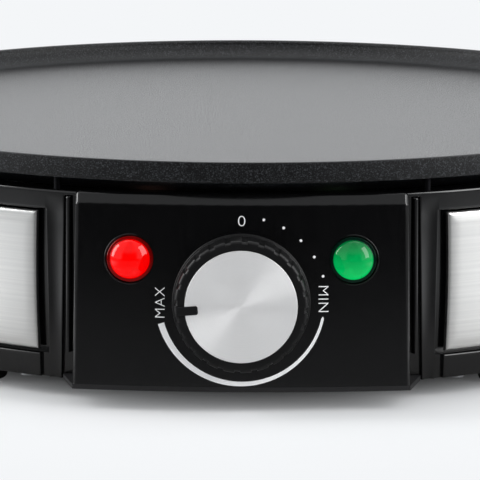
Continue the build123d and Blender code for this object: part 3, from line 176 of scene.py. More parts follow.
def feed(node, *values, **named):
    """Fill a node's inputs: the values go to its live inputs in order, and a named one to the input of that
    name, with _ for a space. Each is a number, a colour, an output, or a node for its first live output."""
    live = [socket for socket in node.inputs if socket.enabled]
    by_name = [(node.inputs[key.replace("_", " ")], value) for key, value in named.items()]
    for socket, value in [*zip(live, values), *by_name]:
        if isinstance(value, bpy.types.Node):
            value = next(output for output in value.outputs if output.enabled)
        if isinstance(value, bpy.types.NodeSocket):
            node.id_data.links.new(value, socket)
        else:
            socket.default_value = value
    return node


def add(tree, kind, *values, **named):
    """One node. Names in lower case are its settings, and the rest feeds its inputs."""
    made = tree.nodes.new("ShaderNode" + kind)
    for key in [key for key in named if key.islower()]:
        setattr(made, key, named.pop(key))
    return feed(made, *values, **named)


def material(name):
    """New material: its node tree and its surface shader."""
    made = bpy.data.materials.new(name)
    made.use_nodes = True
    return made, made.node_tree, made.node_tree.nodes["Principled BSDF"]


def place(tree, size, squeeze=(1, 1, 1), source="Object", shift=0.0):
    """Object or UV coordinates in units of a pattern's size, which is in metres, squeezed along each axis."""
    where = add(tree, "TexCoord").outputs[source]
    return add(tree, "Mapping", Vector=where, Location=[shift] * 3, Scale=[1 / size * s for s in squeeze])


# ---- Materials ----

def non_stick():
    """Cast aluminium under a sprayed non-stick coating: a dull sheen at a low angle and a stipple from the
    spray. The cooking face is ground before it is coated and lies smoother; the rim keeps the full grain.
    Its brightest grain cells are painted lighter in the base colour, a painted glint, full on the rim and
    at 0.3 on the face. The piece's "blend" is 1 on the face and 0 on the rim."""
    p = props("griddle")
    made, tree, shader = material("cast_aluminium_non_stick_coating")
    here = place(tree, p.grain)
    face = add(tree, "Attribute", attribute_name="blend").outputs["Fac"]
    stipple = add(tree, "TexNoise", Vector=here, Scale=1.0, Detail=4.0, Roughness=0.75)
    cast = add(tree, "TexNoise", Vector=place(tree, mm(22.2)), Scale=1.0, Detail=3.0)
    grains = add(tree, "TexVoronoi", Vector=here, Scale=1.9, Randomness=1.0)
    pick = add(tree, "SeparateColor", Color=grains.outputs["Color"])
    tips = add(tree, "Math", pick, 6.0, operation="POWER")
    # painted glint: the brightest grain cells get the lighter colour 44474a, fully on the rim and at 0.3 on
    # the face
    painted_glint = add(tree, "Math", tips, add(tree, "MapRange", face, 0.0, 1.0, 1.0, 0.3), operation="MULTIPLY")
    cloud = add(tree, "MapRange", cast, 0.3, 0.7, 0.0, 1.0)
    body = add(tree, "Mix", cloud, linear(p.coat), linear("0c0c0e"), data_type="RGBA")
    rim_rough = add(tree, "MapRange", stipple, 0.3, 0.7, 0.36, 0.52)
    face_rough = add(tree, "MapRange", stipple, 0.3, 0.7, 0.24, 0.31)
    share = add(tree, "MapRange", face, 0.0, 1.0, 1.0, 0.65)
    height = add(tree, "Math", stipple, share, operation="MULTIPLY")
    soft = add(tree, "Bump", Height=cast, Strength=0.12, Distance=mm(0.25))
    feed(shader, Base_Color=add(tree, "Mix", painted_glint, body, linear("44474a"), data_type="RGBA"),
         Roughness=add(tree, "Mix", face, rim_rough, face_rough), Specular_IOR_Level=0.25,
         Normal=add(tree, "Bump", Height=height, Strength=0.9, Distance=mm(0.13), Normal=soft))
    return made


def gloss_plastic():
    """Moulded ABS from a polished tool: near black, a sharp reflection broken by a faint orange-peel ripple
    and by hairline wear that spreads the gloss a little."""
    made, tree, shader = material("gloss_moulded_plastic")
    peel = add(tree, "TexNoise", Vector=place(tree, mm(3.57)), Scale=1.0, Detail=1.0)
    wear = add(tree, "TexNoise", Vector=place(tree, mm(1.11), (1, 1, 0.12)), Scale=1.0, Detail=3.0)
    plastic = linear(props("housing").plastic)
    feed(shader, Base_Color=add(tree, "Mix", peel, plastic, linear("0a0a0b"), data_type="RGBA"),
         Roughness=add(tree, "MapRange", wear, 0.35, 0.8, 0.10, 0.20),
         Normal=add(tree, "Bump", Height=peel, Strength=0.05, Distance=mm(0.12)))
    return made


def textured_plastic(name, code, grain, rough, shine=0.5):
    """Plastic from a spark-eroded tool, or moulded rubber or ceramic: an even fine grain that scatters the
    highlights. The grain is in millimetres."""
    made, tree, shader = material(name)
    cells = add(tree, "TexVoronoi", Vector=place(tree, mm(grain)), Scale=1.0)
    cloud = add(tree, "TexNoise", Vector=place(tree, mm(11.1)), Scale=1.0, Detail=2.0)
    feed(shader, Base_Color=add(tree, "Mix", cloud, linear(code), linear(code, 1.4), data_type="RGBA"),
         Roughness=add(tree, "MapRange", cloud, 0.0, 1.0, rough - 0.05, rough + 0.08),
         Specular_IOR_Level=shine,
         Normal=add(tree, "Bump", Height=cells, Strength=0.35, Distance=mm(0.06)))
    return made


ACROSS = 0.25                                 # a quarter turn: highlights stretch across the marks


def brushed_steel():
    """Stainless sheet brushed along its length: fine lengthwise streaks in gloss and height draw the
    highlights out upright. The streaks follow the piece's UV map, whose U runs along the sheet in metres."""
    p = props("panel")
    made, tree, shader = material("brushed_stainless_steel")
    fine = add(tree, "TexNoise", Vector=place(tree, p.streak, (0.010, 2.6, 1), "UV"), Scale=1.0, Detail=4.0,
               Roughness=0.7)
    broad = add(tree, "TexNoise", Vector=place(tree, p.streak, (0.004, 0.45, 1), "UV"), Scale=1.0, Detail=2.0)
    both = add(tree, "Math", fine, broad, operation="ADD")
    tone = add(tree, "MapRange", both, 0.6, 1.4, 0.0, 1.0)
    feed(shader, Base_Color=add(tree, "Mix", tone, linear("cfcfce"), linear(p.steel), data_type="RGBA"),
         Metallic=1.0, Anisotropic=0.65, Anisotropic_Rotation=ACROSS,
         Roughness=add(tree, "MapRange", both, 0.6, 1.4, 0.26, 0.40),
         Tangent=add(tree, "Tangent", direction_type="UV_MAP"),
         Normal=add(tree, "Bump", Height=fine, Strength=0.25, Distance=mm(0.015)))
    return made


def spun_aluminium():
    """Aluminium disc faced on a lathe: concentric tool marks, which open each highlight into a fan from the
    centre. A machined face also scatters, so it is only half a mirror. The disc's UV map holds the turn in U
    and the radius in metres in V."""
    made, tree, shader = material("spun_aluminium")
    from_axis = add(tree, "SeparateXYZ", Vector=add(tree, "TexCoord").outputs["UV"]).outputs["Y"]
    rings = add(tree, "TexNoise", noise_dimensions="1D", W=from_axis, Scale=1 / mm(0.238), Detail=3.0)
    metal = linear(props("knob").metal)
    feed(shader, Base_Color=add(tree, "Mix", rings, linear("f0f0f1"), metal, data_type="RGBA"),
         Metallic=0.50, Anisotropic=0.9, Anisotropic_Rotation=ACROSS,
         Roughness=add(tree, "MapRange", rings, 0.3, 0.7, 0.50, 0.60),
         Tangent=add(tree, "Tangent", direction_type="UV_MAP"),
         Normal=add(tree, "Bump", Height=rings, Strength=0.15, Distance=mm(0.01)))
    return made


def plain_metal(name, code, rough, grain):
    """A small metal part, plated or drawn: a slight cloudiness in tone and gloss, and a fine surface grain.
    The grain is in millimetres."""
    made, tree, shader = material(name)
    cloud = add(tree, "TexNoise", Vector=place(tree, mm(grain)), Scale=1.0, Detail=2.0)
    feed(shader, Base_Color=add(tree, "Mix", cloud, linear(code, 0.8), linear(code), data_type="RGBA"),
         Metallic=1.0, Roughness=add(tree, "MapRange", cloud, 0.0, 1.0, rough - 0.06, rough + 0.08),
         Normal=add(tree, "Bump", Height=cloud, Strength=0.2, Distance=mm(0.03)))
    return made


def lens_plastic(name, code, painted_shade_code, glow, seed):
    """Translucent moulded polystyrene lit from behind by a neon: a clear glossy skin over deep colour. The
    light fills the dome, is brighter low down, where the neon stands, and leaves the flange unlit. The base
    colour follows the lit share too, falling to a darker colour where less lit: a painted shade beside the
    real glow. The piece's "blend" says how lit each point is."""
    made, tree, shader = material(name)
    cloud = place(tree, mm(4.35), shift=seed)
    uneven = add(tree, "TexNoise", Vector=cloud, Scale=1.0, Detail=1.0, Distortion=0.8)
    lit = add(tree, "Attribute", attribute_name="blend").outputs["Fac"]
    shade = add(tree, "Math", lit, add(tree, "MapRange", uneven, 0.35, 0.6, 0.88, 1.0), operation="MULTIPLY")
    # painted shade: the base colour goes from the lens colour to a darker one where the lens is less lit
    tone = add(tree, "Mix", shade, linear(painted_shade_code), linear(code), data_type="RGBA")
    feed(shader, Base_Color=add(tree, "Mix", 0.65, tone, grey(0.0), data_type="RGBA"),
         Emission_Color=add(tree, "Mix", shade, grey(0.0), linear(code), data_type="RGBA"),
         Emission_Strength=glow, Roughness=0.04, Specular_IOR_Level=0.30)
    return made


def screen_ink():
    """White screen-printing ink: flat, slightly raised, with a faint mottling from the mesh."""
    made, tree, shader = material("screen_print_ink")
    mesh = add(tree, "TexNoise", Vector=place(tree, mm(0.25)), Scale=1.0, Detail=1.0)
    white = linear(props("dial").ink)
    feed(shader, Base_Color=add(tree, "Mix", mesh, linear("f4f5f7"), white, data_type="RGBA"),
         Roughness=add(tree, "MapRange", mesh, 0.0, 1.0, 0.45, 0.6))
    return made


def glass(name, code, glow):
    """Blown glass envelope, thinly tinted by the gas that glows in it."""
    made, tree, shader = material(name)
    swirl = add(tree, "TexNoise", Vector=place(tree, mm(2.0)), Scale=1.0)
    tone = add(tree, "Mix", swirl, linear(code), linear("fff0e0"), data_type="RGBA")
    feed(shader, Base_Color=tone, Emission_Color=tone, Emission_Strength=glow, Roughness=0.05)
    return made


def earth_insulation():
    """Moulded lead insulation for the earth: green with a yellow stripe that winds along it."""
    made, tree, shader = material("green_yellow_lead_insulation")
    wave = add(tree, "TexWave", Vector=place(tree, mm(3.85)), Scale=1.0)
    stripe = add(tree, "Math", wave.outputs["Fac"], 0.5, operation="GREATER_THAN")
    feed(shader, Base_Color=add(tree, "Mix", stripe, linear("2f8f3c"), linear("e8cf2c"), data_type="RGBA"),
         Roughness=0.4)
    return made


# ---- Surfaces ----

class Sheets:
    """Grids of points gathered into one mesh, with quads between the points."""

    def __init__(self):
        self.points, self.faces, self.uvs, self.extra, self.count = [], [], [], [], 0

    def grid(self, points, wrap=False, uv=None, flip=False, value=0.0):
        """points is (rows, columns, 3). wrap joins the last row to the first. uv is (rows, columns, 2); with
        wrap it has one more row, so that the seam keeps its own place. value becomes the points' "blend"."""
        rows, cols = points.shape[:2]
        index = np.arange(rows * cols).reshape(rows, cols) + self.count
        ring = np.vstack([index, index[:1]]) if wrap else index
        quads = np.stack([ring[:-1, :-1], ring[1:, :-1], ring[1:, 1:], ring[:-1, 1:]], -1).reshape(-1, 4)
        if uv is None:
            uv = np.zeros((*ring.shape, 2))
        corners = np.stack([uv[:-1, :-1], uv[1:, :-1], uv[1:, 1:], uv[:-1, 1:]], 2).reshape(-1, 4, 2)
        if flip:
            quads, corners = quads[:, ::-1], corners[:, ::-1]
        self.points.append(points.reshape(-1, 3))
        self.faces.append(quads)
        self.uvs.append(corners.reshape(-1, 2))
        self.extra.append(np.broadcast_to(value, points.shape[:2]).reshape(-1))
        self.count += rows * cols
        return self

    def mesh(self, name, sharp=35.0, weld=2e-7):
        """The mesh: doubles merged, empty faces dropped, normals outwards, edges over sharp degrees kept."""
        points, faces = np.vstack(self.points), np.vstack(self.faces)
        made = bpy.data.meshes.new(name)
        made.vertices.add(len(points))
        made.vertices.foreach_set("co", points.astype(np.float32).ravel())
        made.loops.add(faces.size)
        made.loops.foreach_set("vertex_index", faces.astype(np.int32).ravel())
        made.polygons.add(len(faces))
        made.polygons.foreach_set("loop_start", np.arange(0, faces.size, 4, dtype=np.int32))
        made.update(calc_edges=True)
        layer = made.uv_layers.new(name="sheet")
        layer.data.foreach_set("uv", np.vstack(self.uvs).astype(np.float32).ravel())
        extra = made.attributes.new("blend", "FLOAT", "POINT")
        extra.data.foreach_set("value", np.concatenate(self.extra).astype(np.float32))
        work = bmesh.new()
        work.from_mesh(made)
        bmesh.ops.remove_doubles(work, verts=work.verts, dist=weld)
        bmesh.ops.dissolve_degenerate(work, edges=work.edges, dist=weld)
        bmesh.ops.recalc_face_normals(work, faces=work.faces)
        work.to_mesh(made)
        work.free()
        made.validate()
        made.shade_smooth()
        made.set_sharp_from_angle(angle=math.radians(sharp))
        return made


def rounded(points, radii, steps=6):
    """Open line of (r, z) points whose inner corners are arcs: at each corner the arc's centre lies on the
    bisector, one radius from both runs."""
    out = [np.array(points[0], float)[None]]
    for a, b, c, r in zip(points, points[1:], points[2:], radii):
        a, b, c = (np.array(v, float) for v in (a, b, c))
        u, v = (a - b) / np.linalg.norm(a - b), (c - b) / np.linalg.norm(c - b)
        half = math.acos(np.clip(u @ v, -1, 1)) / 2
        if r <= 0 or half > math.pi / 2 - 1e-3:
            out.append(b[None])
            continue
        centre = b + (u + v) / np.linalg.norm(u + v) * r / math.sin(half)
        first, last = (b + w * r / math.tan(half) - centre for w in (u, v))
        t = np.linspace(0, 1, steps + 1)[:, None]
        sweep = math.pi - 2 * half
        out.append(centre + (np.sin((1 - t) * sweep) * first + np.sin(t * sweep) * last) / math.sin(sweep))
    out.append(np.array(points[-1], float)[None])
    return np.vstack(out)


def turned(profile, segments, at, out=Vector((0, 0, 1)), value=0.0, sheets=None):
    """A profile turned about an axis: point = centre + r (cos a X + sin a Y) + z axis, for every a of the
    circle. profile is (n, 2) of r and z. U holds the turn and V the radius, in metres."""
    axis = np.array(out, float)
    across = np.cross([0, 1, 0], axis) if abs(axis[1]) < 0.9 else np.array([1.0, 0, 0])
    across = across / np.linalg.norm(across)
    up = np.cross(axis, across)
    angle = np.linspace(0, FULL_TURN, segments, endpoint=False)
    r, z = profile[:, 0], profile[:, 1]
    spin = np.cos(angle)[:, None] * across + np.sin(angle)[:, None] * up
    points = np.array(at, float) + spin[:, None, :] * r[None, :, None] + axis * z[None, :, None]
    turn = np.linspace(0, 1, segments + 1)[:, None]
    uv = np.stack(np.broadcast_arrays(turn, r[None, :]), -1)
    return (sheets or Sheets()).grid(points, wrap=True, uv=uv, value=value)


def quarter(count, first=0.0):
    """Shares from 0 to 1 that are close together at their start: 1 - cos(a), for a up to a quarter turn."""
    return 1 - np.cos(np.linspace(first, math.pi / 2, count))


def lip(distance, radius):
    """How far a rounded lip has dropped at a distance from its edge: R - sqrt(R^2 - (R - d)^2)."""
    inside = radius - np.clip(distance, 0, radius)
    return radius - np.sqrt(np.maximum(radius ** 2 - inside ** 2, 0))


def outside(value, low, high):
    """How far a value lies outside the span from low to high, and 0 within it."""
    return np.maximum(np.maximum(low - value, value - high), 0)


def piece(name, shape, look, body, replaces=(), sharp=35.0):
    """An object for a mesh, or for sheets with edges kept over sharp degrees. It rides on its body, in place
    of the CAD nodes that it stands for."""
    mesh = shape.mesh(name, sharp) if isinstance(shape, Sheets) else shape
    made = bpy.data.objects.new(name, mesh)
    bpy.context.scene.collection.objects.link(made)
    mesh.materials.append(look)
    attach(made, body)
    if replaces:
        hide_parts(*replaces)
    return made


def dress(look, *names):
    """A better material on CAD nodes that keep their shape."""
    for name in names:
        mesh = frame["nodes"][name].data
        mesh.materials.clear()
        mesh.materials.append(look)


# ---- The fascia's own shape ----

BOW_R = mm(370.0)                             # bow of the fascia in plan
FACE_FOOT_Y = KNOB_AT.y - (KNOB_AT.z - BASE_Z) * math.tan(TILT)   # fascia at its foot, on the mid-plane


def fascia(x, z, out=0.0):
    """Points on the fascia: y = foot + height tan(lean) + R - sqrt(R^2 - x^2), moved out along the normal.
    x and z are arrays in the row frame. Gives the points and their normals."""
    x, z = np.broadcast_arrays(np.asarray(x, float), np.asarray(z, float))
    y = FACE_FOOT_Y + (z - BASE_Z) * math.tan(TILT) + BOW_R - np.sqrt(BOW_R ** 2 - x ** 2)
    yaw = np.arcsin(x / BOW_R)
    normal = np.stack([np.sin(yaw) * math.cos(TILT), -np.cos(yaw) * math.cos(TILT),
                       np.full(x.shape, math.sin(TILT))], -1)
    return np.stack([x, y, z], -1) + normal * np.asarray(out, float)[..., None], normal


# ---- Griddle ----

ELEMENT_R, GROOVE_R = mm(88.0, 3.3)           # ring of the heating element, and radius of its groove
PAD_DROP, PAD_HALF = mm(3.0, 9.0)             # pad cast round the groove: its height and half its width
FACE_FADE = mm(2.0)                           # the ground face goes over into the rim's grain


class CREPE_OT_griddle(bpy.types.Operator):
    """Cast griddle plate with its rounded rim, coated all over, and the pegs that it sits on"""
    bl_idname = "crepe.griddle"
    bl_label = "Griddle plate"

    def execute(self, context):
        p = props("griddle")
        profile = self.profile(p)
        above = profile[:, 1] > CREST_Z - p.depth - p.thick + mm(0.1)
        on_face = above * np.clip((PLATE_OUT - p.rim + FACE_FADE - profile[:, 0]) / FACE_FADE, 0, 1)
        plate = turned(profile, 384, (0, AXIS_Y, 0), value=on_face[None, :])
        piece("griddle_plate_coated", plate, non_stick(), "base", ["griddle_plate"], 32)
        # painted shade: the pegs are near black so that they look dim in the shaded gap under the rim
        dress(plain_metal("shade_darkened_pegs", "1d1d1f", 0.5, 0.8), "rim_pegs")
        return {"FINISHED"}

    def profile(self, p):
        """From the centre of the cooking face out over the rim, and back under the plate: a flat, an arc that
        rises to the crest, the rounded rim, the half-round groove in its pad, and the flat underside."""
        cook_z, cook_r = CREST_Z - p.depth, PLATE_OUT - p.rim
        foot = (PLATE_OUT - p.crest, CREST_Z - p.crest / 2)
        run, rise = foot[0] - cook_r, foot[1] - cook_z
        bend = (run ** 2 + rise ** 2) / (2 * rise)
        swing = np.linspace(0, math.asin(run / bend), 14)[1:]
        slope = np.stack([cook_r + bend * np.sin(swing), cook_z + bend * (1 - np.cos(swing))], -1)
        lip_z, under_z = CREST_Z - p.wall, cook_z - p.thick
        pad_z, pad_out = under_z - PAD_DROP, ELEMENT_R + PAD_HALF
        rim = rounded([foot, (PLATE_OUT - p.crest, CREST_Z), (PLATE_OUT, CREST_Z), (PLATE_OUT, lip_z),
                       (PLATE_OUT - p.lip, lip_z), (cook_r - mm(1.0), under_z), (pad_out, under_z),
                       (pad_out, pad_z), (ELEMENT_R + GROOVE_R, pad_z)],
                      mm(1.2, 0.4, 0.5, 0.3, 1.0, 1.0, 0.5))
        dip = np.linspace(0, math.pi, 12)
        groove = np.stack([ELEMENT_R + GROOVE_R * np.cos(dip), pad_z + GROOVE_R * np.sin(dip)], -1)
        inner = np.array([(ELEMENT_R - GROOVE_R, pad_z), (ELEMENT_R - PAD_HALF, pad_z),
                          (ELEMENT_R - PAD_HALF, under_z), (0, under_z)])
        flat = np.stack([np.linspace(0, cook_r, 26), np.full(26, cook_z)], -1)
        return np.vstack([flat, slope, rim[1:], groove[1:-1], inner])


# ---- Housing ----

RING_FOOT_R, RING_DRAW = mm(152.5, 5.5)       # outer radius at the foot, and how much more it is at the top
WINDOW_GAP = mm(1.1)                          # from a panel to the window's edge above and below it
WINDOW_LOW, WINDOW_HIGH = PANEL_LOW - WINDOW_GAP, PANEL_HIGH + WINDOW_GAP
WINDOW_END = math.radians(150.0)              # rear end of the windows, from the front
SIDE_DROP = mm(1.8)                           # the sunk fields beside the control panel stop below the top
BEAD_START = mm(9.5)                          # the beads start above the foot
FLUTE_FADE = mm(9.0)                          # height over which a pillar's hollow fades out
SHORT_RISE = mm(1.9)                          # beside the control panel the ring stops above the foot
HAIR = mm(0.02)                               # run of a step in depth

# Lines that run up the ring, right of the mid-plane: x at the foot, and x at the top
START_X, BOX_X = mm(47.0, 47.0), mm(55.7, 55.7)       # behind the control panel, and its side
SHORT_X = mm(59.9, 59.9)                              # end of the short foot
BEAD_X, PILLAR_IN_X = mm(57.8, 57.0), mm(60.2, 58.4)
PILLAR_OUT_X, PANEL_X = mm(64.4, 65.0), mm(67.4, 67.4)


def ring_radius(z):
    """Outer radius of the ring at height z: a straight taper from its foot to its top."""
    return RING_FOOT_R + RING_DRAW * (z - BASE_Z) / (RING_TOP - BASE_Z)


def ring_half():
    """Outer and inner surface of the right half of the ring, from the control panel round to the rear.

    Outer: the ring's cone, less a depth that depends on the place. The depth is the pocket's inside a window,
    the groove's beside a pillar, a shallow parabola across a pillar's face, and minus sqrt(R^2 - d^2) on the
    bead; every edge has a lip. Inner: the cone less the wall, deeper behind a window. Columns follow the
    features' own edges, which lean, and rows their levels."""
    p = props("housing")
    zb, zt, wl, wh = BASE_Z, RING_TOP, WINDOW_LOW, WINDOW_HIGH
    side_top, bead_foot = zt - SIDE_DROP, zb + BEAD_START
    steps, hair, tiny = p.lip * quarter(6), HAIR, HAIR / 2

    # Rows: the steps of each lip, a hair on both sides of a step in depth, and even runs between
    z = np.unique(np.concatenate([
        zb + steps, np.linspace(zb + mm(1.6), bead_foot, 7), [bead_foot + hair],
        [wl - p.wall, wl - p.wall + hair], wl - steps, [wl + hair, wl + mm(0.5)],
        np.linspace(wl + mm(1), wh - mm(1), 22), [wh - hair, wh - mm(0.5)], wh + steps,
        [wh + p.wall - hair, wh + p.wall], np.linspace(wh + mm(1), side_top - mm(1), 4),
        side_top - p.bead * quarter(5), [side_top + hair], side_top + steps,
        zt - p.edge * quarter(8)]).round(7))
    radius, share = ring_radius(z), (z - zb) / (zt - zb)

    def arc(ends, shift=0.0):
        """Length round the ring, at each height, from the mid-plane to a line."""
        low, high = ends[0] + shift, ends[1] + shift
        return radius * np.arcsin((low + (high - low) * share) / radius)

    start, side_in, side_out, pillar, panel = map(arc, (START_X, BOX_X, PILLAR_IN_X, PILLAR_OUT_X, PANEL_X))
    bead_in, bead_out = arc(BEAD_X, -p.bead), arc(BEAD_X, p.bead)
    bead_mid = (bead_in + bead_out) / 2
    end, rear = radius * WINDOW_END, radius * math.pi

    # Columns, laid out in the same way along the ring
    margin = mm(1.5)
    cols = [start, side_in - hair, side_in, bead_in - hair]
    cols += [bead_mid + p.bead * c for c in np.cos(np.linspace(math.pi, 0, 13))]
    cols += [bead_out + hair, side_out - hair] + [side_out + c for c in steps]
    cols += [side_out + (pillar - side_out) * f for f in np.linspace(0.12, 0.88, 12)]
    cols += [pillar - c for c in steps[::-1]] + [pillar + hair, panel - hair] + [panel + c for c in steps]
    cols += [panel + margin + (end - panel - 2 * margin) * f for f in np.linspace(0, 1, 90)]
    cols += [end - hair] + [end + c for c in steps]
    cols += [end + margin + (rear - end - margin) * f for f in np.linspace(0, 1, 30)]
    s = np.array(cols)
    zz = np.broadcast_to(z, s.shape)

    # Depth below the cone
    window = (s > pillar + tiny) & (s < end - tiny) & (zz > wl + tiny) & (zz < wh - tiny)
    side = (s > side_in - tiny) & (s < side_out - tiny) & (zz < side_top + tiny)
    band = (s > pillar + tiny) & (s < panel - tiny) & (zz < wl + tiny)
    depth = np.maximum.reduce([
        lip(np.hypot(outside(s, pillar, end), outside(zz, wl, wh)), p.lip),
        lip(np.hypot(outside(s, side_in, side_out), outside(zz, 0, side_top)), p.lip),
        lip(np.hypot(outside(s, pillar, panel), outside(zz, 0, wl)), p.lip),
        np.broadcast_to(lip(zt - z, p.edge), s.shape), np.broadcast_to(lip(z - zb, p.lip), s.shape)])
    across = np.clip((s - side_out) / (pillar - side_out), 0, 1)
    fade = np.clip((side_top - zz) / FLUTE_FADE, 0, 1)
    fade = fade * fade * (3 - 2 * fade)
    depth += p.flute * (1 - (2 * across - 1) ** 2) * fade
    bead = np.sqrt(np.maximum(p.bead ** 2 - (s - bead_mid) ** 2, 0))
    bead *= np.sqrt(np.clip(1 - (np.maximum(zz - side_top + p.bead, 0) / p.bead) ** 2, 0, 1))
    on_bead = side & (s > bead_in - tiny) & (s < bead_out + tiny) & (zz > bead_foot + tiny) & (bead > hair)
    depth = np.where(side | band, p.groove, depth)
    depth = np.where(on_bead, -bead, depth)
    depth = np.where(window, p.pocket, depth)

    # The inner side, the foot beside the control panel, and the top flange
    behind = (s > side_out) & (s < end + p.wall) & (zz > wl - p.wall - tiny) & (zz < wh + p.wall + tiny)
    inner = np.where(behind, p.pocket + p.wall / 2, p.wall)
    foot = np.where(s < arc(SHORT_X), np.maximum(zz, zb + SHORT_RISE), zz)
    flange_z, top_r = zt - p.wall, ring_radius(zt)
    rim = np.linspace(top_r - p.edge, top_r - p.flange, 5)[1:]

    def flanged(grid, more):
        """A grid with the columns of the top flange added."""
        return np.concatenate([grid, np.broadcast_to(more, (len(s), len(rim)))], 1)

    spin = flanged(s / radius, (s / radius)[:, -1:])

    def points(r, height):
        return np.stack([r * np.sin(spin), AXIS_Y - r * np.cos(spin), height], -1)

    return (points(flanged(radius - depth, rim), flanged(foot, zt)),
            points(flanged(radius - inner, np.minimum(rim, top_r - p.wall)),
                   flanged(np.minimum(foot, flange_z), flange_z)))


class CREPE_OT_housing(bpy.types.Operator):
    """Ring housing with its windows, pillars and beads, the base cover, cord gland and feet"""
    bl_idname = "crepe.housing"
    bl_label = "Housing"

    def execute(self, context):
        p = props("housing")
        gloss = gloss_plastic()
        outer, inner = ring_half()
        middle = (outer[:1] + inner[:1]) / 2
        loop = np.concatenate([outer, inner[:, ::-1]], 1)
        cap = np.concatenate([middle, middle[:, ::-1]], 1)
        half = np.concatenate([cap, loop], 0)
        left = half[::-1][1:] * np.array([-1, 1, 1])
        sheets = Sheets().grid(np.transpose(np.concatenate([half, left], 0), (1, 0, 2)), wrap=True)
        low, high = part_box("cord_inlet")
        pad_z = (low.z + high.z) / 2
        hole, rim, rise, sunk = mm(5.9, 10.5, 2.3, 1.3)   # raised seat of the cord gland on the rear wall
        pad = rounded([(hole, 0), (hole, rise), (rim, rise), (rim, 0)], mm(0.2, 0.6))
        turned(pad, 96, (0, AXIS_Y + ring_radius(pad_z) - sunk, pad_z), Vector((0, 1, 0)), sheets=sheets)
        piece("ring_gloss", sheets, gloss, "base", ["housing_ring"], 33)
        dress(gloss, "control_box")
        dress(textured_plastic("textured_base_plastic", p.matte, 0.55, 0.48), "base_cover")
        dress(textured_plastic("moulded_rubber", p.rubber, 0.7, 0.62), "cord_inlet", "foot_front_left",
              "foot_front_right", "foot_rear_left", "foot_rear_right")
        return {"FINISHED"}


# ---- Steel panels ----

PANEL_SINK, PANEL_BACK = mm(0.3, 1.9)         # panel's face below the ring's, and how deep its hem goes back


def panel_sheet(side):
    """One steel side panel. Its face follows the ring's cone a little below it. With d the distance to the
    nearest edge, it falls softly by fall (1 - d / pillow)^2 and then rolls over by R - sqrt(R^2 - (R - d)^2),
    so that the falls meet in mitres at the corners; past the edge it runs back into the pocket. The front end
    bows inward between its corners by waist sin(pi t)."""
    p = props("panel")
    end_az = WINDOW_END - p.gap / RING_FOOT_R
    edge = np.concatenate([[0.0, 0.0], p.roll * quarter(7, 0.12), np.linspace(p.roll, p.pillow, 8)[1:]])
    height = PANEL_HIGH - PANEL_LOW
    up = np.concatenate([edge, np.linspace(p.pillow, height - p.pillow, 9)[1:-1], height - edge[::-1]])
    z = PANEL_LOW + up
    radius = ring_radius(z)
    start = np.arcsin((p.start + p.waist * np.sin(math.pi * up / height)) / radius)
    long = (radius * (end_az - start)).mean()
    middle = p.pillow + (long - 2 * p.pillow) * np.linspace(0, 1, 110)[1:-1]
    a, b = np.meshgrid(np.concatenate([edge, middle, long - edge[::-1]]), up, indexing="ij")
    gap = np.minimum(np.minimum(a, long - a), np.minimum(b, height - b))
    drop = p.fall * (1 - np.minimum(gap, p.pillow) / p.pillow) ** 2 + lip(gap, p.roll)
    drop[[0, -1], :] = PANEL_BACK
    drop[:, [0, -1]] = PANEL_BACK
    azimuth = start[None, :] + (end_az - start)[None, :] * (a / long)
    reach = radius[None, :] - PANEL_SINK - drop
    points = np.stack([side * reach * np.sin(azimuth), AXIS_Y - reach * np.cos(azimuth),
                       np.broadcast_to(z[None, :], a.shape)], -1)
    return Sheets().grid(points, uv=np.stack([a, b], -1), flip=side < 0)


class CREPE_OT_panels(bpy.types.Operator):
    """Brushed steel side panels with rolled edges and mitred corners, and their washers"""
    bl_idname = "crepe.panels"
    bl_label = "Steel panels"

    def execute(self, context):
        look = brushed_steel()
        for side, name in ((1, "steel_panel_right"), (-1, "steel_panel_left")):
            made = piece(name + "_brushed", panel_sheet(side), look, "base", [name], 40)
            wall = made.modifiers.new("sheet", "SOLIDIFY")
            wall.thickness, wall.offset = props("panel").sheet, -1.0
        dress(plain_metal("spring_steel_washers", "8d8d90", 0.35, 1.0), "panel_washers")
        return {"FINISHED"}


# ---- Dial print ----

INK_LIFT = mm(0.05)                           # ink above the fascia
DOTS, DOT_FIRST, DOT_STEP = 5, 15.0, 14.4     # dots, and their places in degrees from the top
DOT_R = mm(0.46)
ARC_FIRST, ARC_LAST = 100.6, 254.2            # degrees from the top
ARC_THIN, ARC_THICK = mm(0.42, 1.06)          # half its width at its ends
ARC_DRIFT = mm(0.15)                          # the arc's middle moves outward towards MAX
# Each word, its height and its radius in mm, its place and its turn in degrees, and how much it is widened
WORDS = (("0", 5.1, 26.6, 0.0, 0.0, 1.14), ("MIN", 4.9, 26.85, 88.2, 90.0, 1.03),
         ("MAX", 4.8, 26.75, 268.9, -90.0, 1.0))


def dial(radius, clockwise):
    """x and z on the fascia at a radius about the knob's axis, and radians clockwise from its top."""
    return KNOB_AT.x + radius * np.sin(clockwise), KNOB_AT.z + radius * np.cos(clockwise) * math.cos(TILT)


